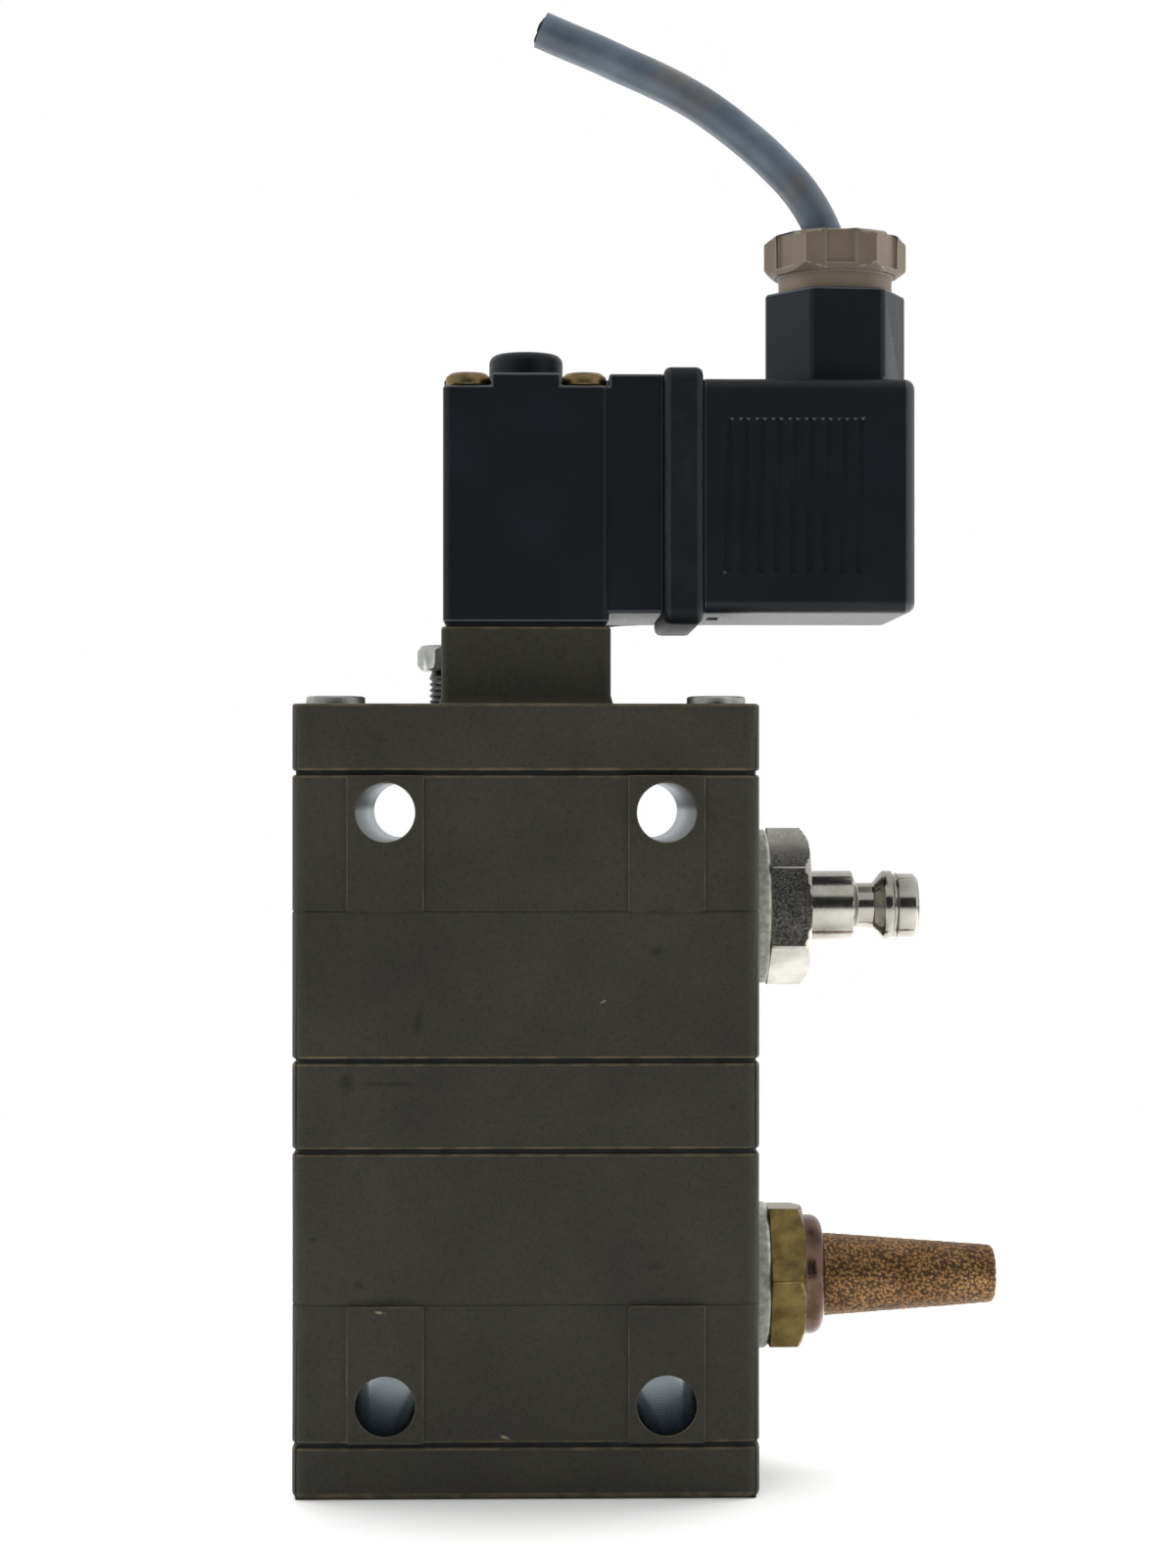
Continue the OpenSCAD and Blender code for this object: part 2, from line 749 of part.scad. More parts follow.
module piston_nut() {
    color(zinc_steel)
    difference() {
        translate([0, 0, z_piston + piston_h]) hexagon(nut_af, nut_h);
        post(0, 0, z_piston, z_piston + piston_h + nut_h + 1, spigot_r + screw_gap);
    }
}

module pilot_gasket() {
    color(rubber_black)
    difference() {
        translate([0, 0, z_pedestal])
            linear_extrude(seal_t)
                rounded_rect(coil_w - 2 * seal_inset, coil_d - 2 * seal_inset, 0.8);
        post(0, 0, z_pedestal - eps, z_coil + eps, tube_r + screw_gap);
        for (p = coil_screw_spots)
            post(p[0], p[1], z_pedestal - eps, z_coil + eps, coil_screw_r + hole_gap);
    }
}

// The outline of a contact blade from x on: the two at the sides stand up, the lower one lies flat
module blade(x, length, spot, play) {
    size = spot[0] == 0 ? [blade_w, blade_t] : [blade_t, blade_w];
    translate([x, spot[0] - size[0] / 2 - play, z_plug + spot[1] - size[1] / 2 - play])
        cube([length, size[0] + 2 * play, size[1] + 2 * play]);
}

// Moulded coil block with its raised middle, neck and socket face
module coil_body() {
    color(black_plastic)
    difference() {
        union() {
            translate([0, 0, z_coil])
                linear_extrude(coil_h + ridge_h) rounded_rect(coil_w, coil_d, 1);
            translate([coil_w / 2 - 1, -neck_d / 2, z_plug - plug_h / 2])
                cube([neck_l + 1, neck_d, neck_h]);
            translate([coil_w / 2, -socket_s / 2, z_plug - socket_s / 2])
                cube([socket_end - coil_w / 2, socket_s, socket_s]);
        }
        for (side = [-1, 1], front = [-1, 1])
            translate([side < 0 ? -coil_w / 2 - 1 : coil_w / 2 - pocket_w,
                    front < 0 ? -coil_d / 2 - 1 : coil_d / 2 - pocket_d, z_pockets])
                cube([pocket_w + (side < 0 ? 1 : 0), pocket_d + 1, ridge_h + 1]);
        post(0, 0, z_coil - eps, z_tube_top, tube_r + screw_gap);
        post(0, 0, z_tube_top - eps, z_ridge + eps, button_r + button_gap);
        post(0, 0, bobbin_floor, bobbin_floor + bobbin_l, winding_r + screw_gap);
        for (p = coil_screw_spots)
            post(p[0], p[1], z_coil - eps, z_pockets + eps, coil_screw_r + hole_gap);
        along_x(socket_end - plug_screw_depth, 0, z_plug)
            cylinder(r = plug_screw_r + screw_gap, h = plug_screw_depth + eps);
        for (p = blade_spots) blade(socket_end - blade_seat, blade_seat + eps, p, 0.02);
    }
}

module coil_bobbin() {
    hub = tube_r + screw_gap + 0.8;
    color([0.85, 0.84, 0.80])
    difference() {
        union() {
            post(0, 0, bobbin_floor, bobbin_floor + bobbin_l, hub);
            for (z = [bobbin_floor, bobbin_floor + bobbin_l - 1]) post(0, 0, z, z + 1, winding_r);
        }
        post(0, 0, bobbin_floor - eps, bobbin_floor + bobbin_l + eps, tube_r + screw_gap);
    }
}

module coil_winding() {
    color(copper)
    ring(bobbin_floor + 1, bobbin_floor + bobbin_l - 1, winding_r - 0.2, tube_r + screw_gap + 0.8);
}

// Brass screws with a low round head and a slot
module coil_screws() {
    head_h = 1.7;
    color(brass)
    for (p = coil_screw_spots)
        difference() {
            union() {
                post(p[0], p[1], z_pedestal - coil_screw_depth + 0.3, z_pockets + eps, coil_screw_r);
                post(p[0], p[1], z_pockets, z_pockets + head_h - 0.5, coil_screw_head_r);
                translate([p[0], p[1], z_pockets + head_h - 0.5])
                    cylinder(r1 = coil_screw_head_r, r2 = coil_screw_head_r - 0.6, h = 0.5);
            }
            translate([p[0] - 4, p[1] - 0.4, z_pockets + head_h - 0.8]) cube([8, 0.8, 2]);
        }
}

// Tube round the armature, with a foot flange and a closed top that the button's stem passes
module armature_tube() {
    color(zinc_steel)
    difference() {
        union() {
            post(0, 0, z_flange, z_tube_top, tube_r);
            post(0, 0, z_flange, z_pedestal, flange_r);
        }
        post(0, 0, z_flange - eps, z_tube_top - tube_end_t, tube_r - tube_wall);
        post(0, 0, z_tube_top - tube_end_t - eps, z_tube_top + eps, stem_r + 0.1);
    }
}

module pole_piece() {
    color(spring_steel)
    ring(z_flange, z_pole_top, tube_r - tube_wall - 0.02, pin_r + 0.1);
}

module armature() {
    color(spring_steel) post(0, 0, z_armature, z_armature_top, armature_r);
}

module push_pin() {
    color(brass) post(0, 0, z_poppet + poppet_h, z_armature, pin_r);
}

module pilot_poppet() {
    color(rubber_black) post(0, 0, z_poppet, z_poppet + poppet_h, poppet_r);
}

module pilot_spring() {
    color(spring_steel) spring(z_pilot_floor, z_poppet - z_pilot_floor, 2.3, 0.5, 5);
}

// Round button with a hollow skirt and a stem down to the armature
module override_button() {
    soft = 0.5;
    color(black_plastic) {
        difference() {
            union() {
                post(0, 0, z_skirt, z_button_top - soft, button_r);
                translate([0, 0, z_button_top - soft])
                    cylinder(r1 = button_r, r2 = button_r - soft, h = soft);
            }
            post(0, 0, z_skirt - eps, z_button_roof, button_r - button_wall);
        }
        post(0, 0, z_armature_top + 0.1, z_button_roof + eps, stem_r);
    }
}

module override_spring() {
    color(spring_steel) spring(z_tube_top, z_button_roof - z_tube_top, override_spring_r, override_wire, 6);
}

module contact_blades() {
    color(zinc_steel)
    for (p = blade_spots) blade(socket_end - blade_seat, blade_l, p, 0);
}

// Rubber band that closes the joint between the coil's socket face and the plug
module plug_gasket() {
    color(rubber_black)
    along_x(plug_x - band_w, 0, z_plug)
        difference() {
            linear_extrude(band_w) rounded_rect(band_h, band_d, band_corner);
            translate([0, 0, -eps])
                linear_extrude(band_w + 2 * eps)
                    square(socket_s + 0.1, center = true);
        }
}

// Plug housing: a box open to the left, with ribbed sides and the tower for the gland
module plug_housing() {
    inner = plug_h - 2 * plug_wall;
    color(black_plastic)
    difference() {
        union() {
            along_x(plug_x, 0, z_plug) linear_extrude(plug_l) rounded_rect(plug_h, plug_h, plug_corner);
            translate([tower_x, 0, z_tower - 1])
                rotate(tower_turn) intersection() {
                    cylinder(d = tower_ac, h = tower_h + 1, $fn = 6);
                    cylinder(r = tower_round, h = tower_h + 1);
                }
        }
        translate([plug_x - eps, -inner / 2, z_plug - inner / 2])
            cube([plug_l - plug_wall + eps, inner, inner]);
        translate([tower_x, 0, z_tower - plug_wall - 1])
            cylinder(r = gland_thread_r + screw_gap, h = tower_h + plug_wall + 2);
        along_x(plug_x, 0, z_plug) cylinder(r = plug_screw_r + hole_gap, h = plug_l + 1);
        along_x(plug_x + plug_l - plug_head_t - plug_head_sink, 0, z_plug)
            cylinder(r = plug_head_r + hole_gap, h = plug_head_t + 1);
        for (i = [0:groove_count - 1], side = [-1, 1])
            translate([groove_x + i * groove_pitch - groove_w / 2,
                    side < 0 ? -plug_h / 2 - 1 : plug_h / 2 - groove_depth, z_plug - groove_h / 2])
                cube([groove_w, 1 + groove_depth, groove_h]);
        translate([plug_x + 1.3, -4, z_plug - plug_h / 2 - 1]) cube([1.3, 6, 2]);
    }
}

// Block in the plug that grips the blades, with a bore for the long screw
module terminal_block() {
    slot = 0.1;
    color([0.20, 0.21, 0.22])
    difference() {
        translate([block_x, -block_s / 2, z_plug - block_s / 2]) cube([block_l, block_s, block_s]);
        for (p = blade_spots) blade(block_x - eps, blade_l - blade_seat + 0.5, p, slot);
        along_x(block_x - 1, 0, z_plug) cylinder(r = plug_screw_r + hole_gap, h = block_l + 2);
        for (p = blade_spots)
            along_x(block_end - terminal_depth, p[0], z_plug + p[1])
                cylinder(r = terminal_r + screw_gap, h = terminal_depth + eps);
    }
}

module terminal_screws() {
    color(brass)
    for (p = blade_spots)
        difference() {
            union() {
                along_x(block_end - terminal_depth + 0.3, p[0], z_plug + p[1])
                    cylinder(r = terminal_r, h = terminal_depth);
                along_x(block_end, p[0], z_plug + p[1]) cylinder(r = terminal_head_r, h = 1.6);
            }
            translate([block_end + 0.9, p[0] - 3, z_plug + p[1] - 0.3]) cube([1, 6, 0.6]);
        }
}

// Long screw through the plug into the coil's socket face
module plug_screw() {
    head_x = plug_x + plug_l - plug_head_t - plug_head_sink;
    start = socket_end - plug_screw_depth + 0.5;
    color(zinc_steel)
    difference() {
        union() {
            along_x(start, 0, z_plug) cylinder(r = plug_screw_r, h = head_x - start + eps);
            along_x(head_x, 0, z_plug) cylinder(r = plug_head_r, h = plug_head_t);
        }
        translate([head_x + plug_head_t - 0.9, -4, z_plug - 0.4]) cube([2, 8, 0.8]);
    }
}

module gland_grommet() {
    color(rubber_black)
    translate([tower_x, 0, 0])
        ring(z_grommet, z_grommet + grommet_h, gland_thread_r - 0.1, cable_r + 0.02);
}

module gland_washer() {
    color(zinc_steel)
    translate([tower_x, 0, 0])
        ring(z_gland - gland_washer_t, z_gland, gland_thread_r - 0.2, cable_r + 0.5);
}

// Gland nut: thread, shoulder ring and a hexagon with a shallow grip groove in each flat
module gland_nut() {
    z_hex = z_tower_top + gland_ring_h;
    flat = nut_ac / 2 * cos(30);
    color(nut_beige)
    translate([tower_x, 0, 0])
        difference() {
            union() {
                post(0, 0, z_gland, z_tower_top + eps, gland_thread_r);
                post(0, 0, z_tower_top, z_hex + eps, gland_ring_r);
                translate([0, 0, z_hex]) hexagon(nut_ac * cos(30), nut_hex_h, true, true);
            }
            post(0, 0, z_gland - eps, z_hex + nut_hex_h + eps, gland_bore_r);
            for (a = [0:60:300])
                rotate(a + 30)
                    translate([flat - grip_depth, -grip_w / 2, z_hex + 0.8])
                        cube([2, grip_w, nut_hex_h]);
        }
}

// Three cores from the cable's sheath to the terminals
module cable_cores() {
    color([0.45, 0.30, 0.20])
    for (i = [0:len(blade_spots) - 1]) {
        p = blade_spots[i];
        start = [tower_x + (i == 2 ? 1.1 : -0.4), i == 2 ? 0 : (p[0] > 0 ? 1 : -1), z_tail];
        side = i == 2 ? 3.2 : p[0];
        stop = [block_end + 1.6 + core_r + 0.1, p[0], z_plug + p[1]];
        swept_tube([start, start + [0, 0, -1], [start[0], side * 0.5, z_tail - 2.3],
            [tower_x - 1, side, (z_tail + stop[2]) / 2 - 0.5], stop + [0.4, 0, i == 2 ? 2.5 : 1], stop],
            core_r, 8, [1, 0.2, 0]);
    }
}

module cable_tail() {
    color(cable_grey) post(tower_x, 0, z_tail, cable_route[0][1], cable_r);
}

module cable() {
    color(cable_grey)
    swept_tube([for (p = cable_route) [p[0], 0, p[1]]], cable_r, cable_sides, [0, 1, 0]);
}

bottom_cap();
bottom_gasket();
lower_body();
lower_gasket();
mid_plate();
upper_gasket();
upper_body();
cover_gasket();
top_cover();
tie_screws();
throttle_screw();
inlet_washer();
inlet_nipple();
muffler_washer();
muffler_base();
muffler_element();
spool();
spool_seals();
stem_bush();
return_spring();
control_piston();
piston_ring();
piston_nut();
pilot_gasket();
coil_body();
coil_bobbin();
coil_winding();
coil_screws();
armature_tube();
pole_piece();
armature();
push_pin();
pilot_poppet();
pilot_spring();
override_button();
override_spring();
contact_blades();
plug_gasket();
plug_housing();
terminal_block();
terminal_screws();
plug_screw();
gland_grommet();
gland_washer();
gland_nut();
cable_cores();
cable_tail();
cable();
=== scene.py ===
import math

import bmesh
import bpy
from mathutils import Matrix, Vector, noise


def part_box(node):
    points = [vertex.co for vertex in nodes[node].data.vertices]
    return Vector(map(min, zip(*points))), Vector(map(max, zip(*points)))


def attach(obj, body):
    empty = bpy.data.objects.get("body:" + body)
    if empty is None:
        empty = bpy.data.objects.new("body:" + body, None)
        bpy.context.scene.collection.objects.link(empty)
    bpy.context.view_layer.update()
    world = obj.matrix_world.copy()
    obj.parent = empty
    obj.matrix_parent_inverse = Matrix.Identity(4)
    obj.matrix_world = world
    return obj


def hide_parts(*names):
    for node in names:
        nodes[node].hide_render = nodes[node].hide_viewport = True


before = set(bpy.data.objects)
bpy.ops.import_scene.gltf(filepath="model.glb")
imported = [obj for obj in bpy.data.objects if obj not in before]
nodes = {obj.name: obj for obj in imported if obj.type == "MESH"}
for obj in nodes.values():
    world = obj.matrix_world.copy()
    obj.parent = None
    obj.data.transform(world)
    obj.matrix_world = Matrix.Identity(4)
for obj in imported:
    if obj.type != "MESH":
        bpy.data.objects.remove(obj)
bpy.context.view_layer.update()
mm = 0.001


def linear(hexColour):
    # sRGB hex to the linear colour that shaders work in
    parts = [int(hexColour[i:i + 2], 16) / 255 for i in (1, 3, 5)]
    return (*[c / 12.92 if c <= 0.04045 else ((c + 0.055) / 1.055) ** 2.4 for c in parts], 1)


# Camera, light and floor

cameraSettings = {
    "place": (-0.45, -379.5, 82.6),  # mm
    "turn": (90.2, 0, -1.18),  # degrees
    "lens": 69.9,
    "sensor": 36,
}


def makeCamera(s):
    camera = bpy.data.objects.new("camera", bpy.data.cameras.new("camera"))
    camera.location = Vector(s["place"]) * mm
    camera.rotation_euler = [math.radians(a) for a in s["turn"]]
    camera.data.lens = s["lens"]
    camera.data.sensor_width = s["sensor"]
    camera.data.clip_start = 0.01
    bpy.context.scene.collection.objects.link(camera)
    bpy.context.scene.camera = camera
    print("camera made")


def addNode(tree, kind, settings=None, links=None):
    # settings name an input, or else a property; links name or number an input
    node = tree.nodes.new(kind)
    for key, value in (settings or {}).items():
        if key == "ramp":
            stops = node.color_ramp.elements
            while len(stops) < len(value):
                stops.new(1)
            for stop, (place, colour) in zip(stops, value):
                stop.position = place
                stop.color = linear(colour)
        elif isinstance(key, int) or key in node.inputs:
            node.inputs[key].default_value = value
        else:
            setattr(node, key, value)
    for key, socket in (links or {}).items():
        tree.links.new(socket, node.inputs[key])
    return node


lightSettings = {
    "ambient": 0.33,  # strength of the world on matt surfaces
    "background": 1.0,
    "top": {"place": (60, 300, 520), "size": 700, "power": 7.0},
    "left": {"place": (-480, 160, 260), "size": 500, "power": 3.0},
    "right": {"place": (520, 120, 240), "size": 500, "power": 3.0},
    "front": {"place": (-160, -620, 420), "size": 600, "power": 2.0},
    "aim": (5, 0, 85),
}


def makeLights(s):
    world = bpy.data.worlds.new("studio")
    bpy.context.scene.world = world
    world.use_nodes = True
    tree = world.node_tree
    background = tree.nodes["Background"]
    background.inputs["Color"].default_value = (1, 1, 1, 1)
    path = addNode(tree, "ShaderNodeLightPath")
    seen = addNode(tree, "ShaderNodeMath", {"operation": "MAXIMUM"},
                   {0: path.outputs["Is Camera Ray"], 1: path.outputs["Is Glossy Ray"]})
    seen = addNode(tree, "ShaderNodeMath", {"operation": "MAXIMUM"},
                   {0: seen.outputs[0], 1: path.outputs["Is Transmission Ray"]})
    level = addNode(tree, "ShaderNodeMapRange", {"To Min": s["ambient"], "To Max": s["background"]},
                    {"Value": seen.outputs[0]})
    tree.links.new(level.outputs["Result"], background.inputs["Strength"])
    aim = Vector(s["aim"]) * mm
    for name in ("top", "left", "right", "front"):
        lamp = bpy.data.lights.new(name, "AREA")
        lamp.shape = "DISK"
        lamp.size = s[name]["size"] * mm
        lamp.energy = s[name]["power"]
        holder = bpy.data.objects.new(name + "_light", lamp)
        holder.location = Vector(s[name]["place"]) * mm
        holder.rotation_euler = (aim - holder.location).to_track_quat("-Z", "Y").to_euler()
        holder.visible_glossy = False  # metals mirror the white room, not the lamps
        bpy.context.scene.collection.objects.link(holder)
    print("lights made")


floorSettings = {
    "size": 8000,  # mm
    "colour": "#f2f2f1",
    "lift": 0.16,  # share of plain white that only the camera sees, near the object
    "shadeFrom": 120,  # mm from the object: from here the floor fades to the plain backdrop
    "shadeTo": 420,
    "cardPlace": (0, -700, 230),  # a dark card behind the camera, which only polished metal mirrors
    "cardSize": (900, 620),
    "cardColour": "#141517",
}


def makeFloor(s):
    floorMesh = bpy.data.meshes.new("floor")
    bm = bmesh.new()
    bmesh.ops.create_grid(bm, x_segments=1, y_segments=1, size=s["size"] / 2 * mm)
    bm.to_mesh(floorMesh)
    bm.free()
    floor = bpy.data.objects.new("floor", floorMesh)
    floor.location.z = -0.00005
    material = bpy.data.materials.new("paper")  # matt white paper sweep
    material.use_nodes = True
    tree = material.node_tree
    shader = tree.nodes["Principled BSDF"]
    shader.inputs["Base Color"].default_value = linear(s["colour"])
    shader.inputs["Roughness"].default_value = 0.9
    shader.inputs["Specular IOR Level"].default_value = 0.2
    path = addNode(tree, "ShaderNodeLightPath")
    point = addNode(tree, "ShaderNodeTexCoord").outputs["Object"]
    away = addNode(tree, "ShaderNodeVectorMath", {"operation": "LENGTH"}, {0: point})
    fade = addNode(tree, "ShaderNodeMapRange",
                   {"From Min": s["shadeFrom"] * mm, "From Max": s["shadeTo"] * mm, "To Min": s["lift"],
                    "To Max": 1, "interpolation_type": "SMOOTHSTEP"}, {"Value": away.outputs["Value"]})
    share = addNode(tree, "ShaderNodeMath", {"operation": "MULTIPLY"},
                    {0: path.outputs["Is Camera Ray"], 1: fade.outputs["Result"]})
    white = addNode(tree, "ShaderNodeEmission", {"Strength": 1.0})
    both = addNode(tree, "ShaderNodeMixShader", {},
                   {0: share.outputs[0], 1: shader.outputs[0], 2: white.outputs[0]})
    tree.links.new(both.outputs[0], tree.nodes["Material Output"].inputs["Surface"])
    floorMesh.materials.append(material)
    bpy.context.scene.collection.objects.link(floor)

    cardMesh = bpy.data.meshes.new("card")
    bm = bmesh.new()
    bmesh.ops.create_grid(bm, x_segments=1, y_segments=1, size=0.5)
    bmesh.ops.transform(bm, verts=bm.verts, matrix=Matrix.Diagonal(
        (s["cardSize"][0] * mm, s["cardSize"][1] * mm, 1, 1)))
    bmesh.ops.rotate(bm, verts=bm.verts, matrix=Matrix.Rotation(math.radians(90), 3, "X"))
    bm.to_mesh(cardMesh)
    bm.free()
    card = bpy.data.objects.new("card", cardMesh)
    card.location = Vector(s["cardPlace"]) * mm
    dark = bpy.data.materials.new("dark_card")
    dark.use_nodes = True
    dark.node_tree.nodes["Principled BSDF"].inputs["Base Color"].default_value = linear(s["cardColour"])
    dark.node_tree.nodes["Principled BSDF"].inputs["Roughness"].default_value = 1
    cardMesh.materials.append(dark)
    card.visible_camera = False
    card.visible_diffuse = False
    card.visible_shadow = False
    card.visible_transmission = False
    bpy.context.scene.collection.objects.link(card)
    print("floor made")


makeCamera(cameraSettings)
makeLights(lightSettings)
makeFloor(floorSettings)


# Helpers for pieces

def place(name, bm, materials, body, slotName, *replaced, smooth=True):
    # turns a bmesh into a finished piece that rides on its body
    mesh = bpy.data.meshes.new(name)
    for face in bm.faces:
        face.smooth = smooth
    bm.to_mesh(mesh)
    bm.free()
    piece = bpy.data.objects.new(name, mesh)
    bpy.context.scene.collection.objects.link(piece)
    for material in materials:
        mesh.materials.append(material)
    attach(piece, body)
    if replaced:
        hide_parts(*replaced)
    weighted = piece.modifiers.new("flat faces stay flat", "WEIGHTED_NORMAL")
    weighted.keep_sharp = True
    return piece


def copyOf(node):
    # a merged copy of a construction node, its flat faces whole again
    bm = bmesh.new()
    bm.from_mesh(nodes[node].data)
    bmesh.ops.remove_doubles(bm, verts=bm.verts, dist=0.002 * mm)
    bmesh.ops.dissolve_limit(bm, angle_limit=math.radians(0.4), verts=bm.verts, edges=bm.edges)
    return bm


def softenEdges(bm, width, segments=3, angle=28, keep=None):
    # rounds the sharp edges; the new faces are marked, so that a finish can wear them and paint a highlight
    # on them
    worn = bm.faces.layers.float.get("worn") or bm.faces.layers.float.new("worn")
    edges = [
        e for e in bm.edges
        if len(e.link_faces) == 2 and e.calc_face_angle(0) > math.radians(angle)
        and min(f.calc_area() for f in e.link_faces) > 1.5 * width * mm * e.calc_length()  # room for it
        and (keep is None or keep((e.verts[0].co + e.verts[1].co) / 2 / mm))
    ]
    made = bmesh.ops.bevel(bm, geom=edges, offset=width * mm, offset_type="OFFSET", segments=segments,
                           profile=0.5, affect="EDGES", clamp_overlap=False, material=-1)
    for face in made["faces"]:
        face[worn] = 1
    return made["faces"]


def lathe(bm, outline, steps, axis, centre):
    # spins (radius, height) points about an axis through centre; "X" or "Z"
    along = Vector((1, 0, 0)) if axis == "X" else Vector((0, 0, 1))
    out = Vector((0, 0, 1)) if axis == "X" else Vector((1, 0, 0))
    middle = Vector(centre) * mm
    verts = [bm.verts.new(middle + (out * r + along * h) * mm) for r, h in outline]
    edges = [bm.edges.new(pair) for pair in zip(verts, verts[1:])]
    bmesh.ops.spin(bm, geom=verts + edges, cent=middle, axis=along, angle=math.tau, steps=steps,
                   use_merge=True)
    bmesh.ops.remove_doubles(bm, verts=bm.verts, dist=0.002 * mm)
    bmesh.ops.recalc_face_normals(bm, faces=bm.faces)


def arc(centreR, centreH, radius, start, end, steps):
    # points of an arc in an outline, its angles in degrees from straight out
    return [
        (centreR + radius * math.cos(math.radians(start + (end - start) * i / steps)),
         centreH + radius * math.sin(math.radians(start + (end - start) * i / steps)))
        for i in range(steps + 1)
    ]


# Materials

def newMaterial(name):
    material = bpy.data.materials.new(name)
    material.use_nodes = True
    tree = material.node_tree
    point = addNode(tree, "ShaderNodeTexCoord").outputs["Object"]
    return material, tree, tree.nodes["Principled BSDF"], point


def perMm(size):
    # texture scale that gives features of this many millimetres
    return 1000 / size


def castPaint(settings):
    # satin paint on die-cast aluminium: soft sheen, faint cloudiness, fine grain, chips, and lighter edges
    # that are partly rubbed paint and partly a painted highlight
    s = settings
    material, tree, shader, point = newMaterial("satin_paint_on_cast_aluminium")
    cloud = addNode(tree, "ShaderNodeTexNoise", {"Scale": perMm(14), "Detail": 4}, {"Vector": point})
    tone = addNode(tree, "ShaderNodeValToRGB", {"ramp": [(0.3, s["dark"]), (0.7, s["light"])]},
                   {"Fac": cloud.outputs["Fac"]})
    speck = addNode(tree, "ShaderNodeTexNoise", {"Scale": perMm(s["grain"]), "Detail": 3}, {"Vector": point})
    speckTone = addNode(tree, "ShaderNodeValToRGB",
                        {"ramp": [(0.30, "#6f6f6f"), (0.52, "#ffffff"), (0.78, "#ffffff")]},
                        {"Fac": speck.outputs["Fac"]})
    paint = addNode(tree, "ShaderNodeMixRGB", {"blend_type": "MULTIPLY", "Fac": 0.32},
                    {"Color1": tone.outputs["Color"], "Color2": speckTone.outputs["Color"]})
    # rounded edges are painted lighter: partly thinner paint and a little bare metal, partly a painted
    # highlight along the edges
    worn = addNode(tree, "ShaderNodeAttribute", {"attribute_name": "worn"})
    patch = addNode(tree, "ShaderNodeTexNoise", {"Scale": perMm(2.2), "Detail": 5}, {"Vector": point})
    patchOn = addNode(tree, "ShaderNodeMapRange",
                      {"From Min": 0.42, "From Max": 0.60, "To Min": 0.14, "To Max": 0.42},
                      {"Value": patch.outputs["Fac"]})
    rubbedAndHighlight = addNode(tree, "ShaderNodeMath", {"operation": "MULTIPLY"},
                     {0: worn.outputs["Fac"], 1: patchOn.outputs["Result"]})
    colour = addNode(tree, "ShaderNodeMixRGB", {"Color2": linear(s["rubbedAndHighlight"])},
                     {"Fac": rubbedAndHighlight.outputs[0], "Color1": paint.outputs["Color"]}).outputs["Color"]
    # scuffs: dark marks where the body was knocked, and painted shade above the lower pads, each an uneven
    # oval on the front
    # scratches: short, thin, and pale where the metal shows
    edge = addNode(tree, "ShaderNodeTexNoise", {"Scale": perMm(0.7), "Detail": 3}, {"Vector": point})
    for spots, share, tint in ((s["scuffsAndShade"], 0.6, s["scuffAndShadeColour"]), (s["scratches"], 0.5, s["bare"])):
        marks = None
        for x, z, wide, high, turn in spots:
            spot = addNode(tree, "ShaderNodeMapping",
                           {"vector_type": "TEXTURE", "Location": (x * mm, -22.6 * mm, z * mm),
                            "Rotation": (0, math.radians(turn), 0),
                            "Scale": (wide * mm, 1.5 * mm, high * mm)},
                           {"Vector": point})
            ball = addNode(tree, "ShaderNodeTexGradient", {"gradient_type": "SPHERICAL"},
                           {"Vector": spot.outputs["Vector"]})
            rough = addNode(tree, "ShaderNodeMath", {"operation": "MULTIPLY"},
                            {0: ball.outputs["Fac"], 1: edge.outputs["Fac"]})
            marks = rough if marks is None else addNode(
                tree, "ShaderNodeMath", {"operation": "MAXIMUM"}, {0: marks.outputs[0], 1: rough.outputs[0]})
        marked = addNode(tree, "ShaderNodeMapRange",
                         {"From Min": 0.14, "From Max": 0.42, "To Min": 0, "To Max": share},
                         {"Value": marks.outputs[0]})
        colour = addNode(tree, "ShaderNodeMixRGB", {"Color2": linear(tint)},
                         {"Fac": marked.outputs["Result"], "Color1": colour}).outputs["Color"]
    tree.links.new(colour, shader.inputs["Base Color"])
    sheen = addNode(tree, "ShaderNodeMapRange",
                    {"From Min": 0.3, "From Max": 0.7, "To Min": s["roughness"] - 0.06,
                     "To Max": s["roughness"] + 0.08}, {"Value": cloud.outputs["Fac"]})
    tree.links.new(sheen.outputs["Result"], shader.inputs["Roughness"])
    peel = addNode(tree, "ShaderNodeTexNoise", {"Scale": perMm(0.9), "Detail": 2}, {"Vector": point})
    skin = addNode(tree, "ShaderNodeBump", {"Strength": 0.35, "Distance": 0.02 * mm},
                   {"Height": peel.outputs["Fac"]})
    fine = addNode(tree, "ShaderNodeBump", {"Strength": 0.35, "Distance": 0.015 * mm},
                   {"Height": speck.outputs["Fac"], "Normal": skin.outputs["Normal"]})
    tree.links.new(fine.outputs["Normal"], shader.inputs["Normal"])
    shader.inputs["IOR"].default_value = 1.5
    shader.inputs["Specular IOR Level"].default_value = 0.16
    return material


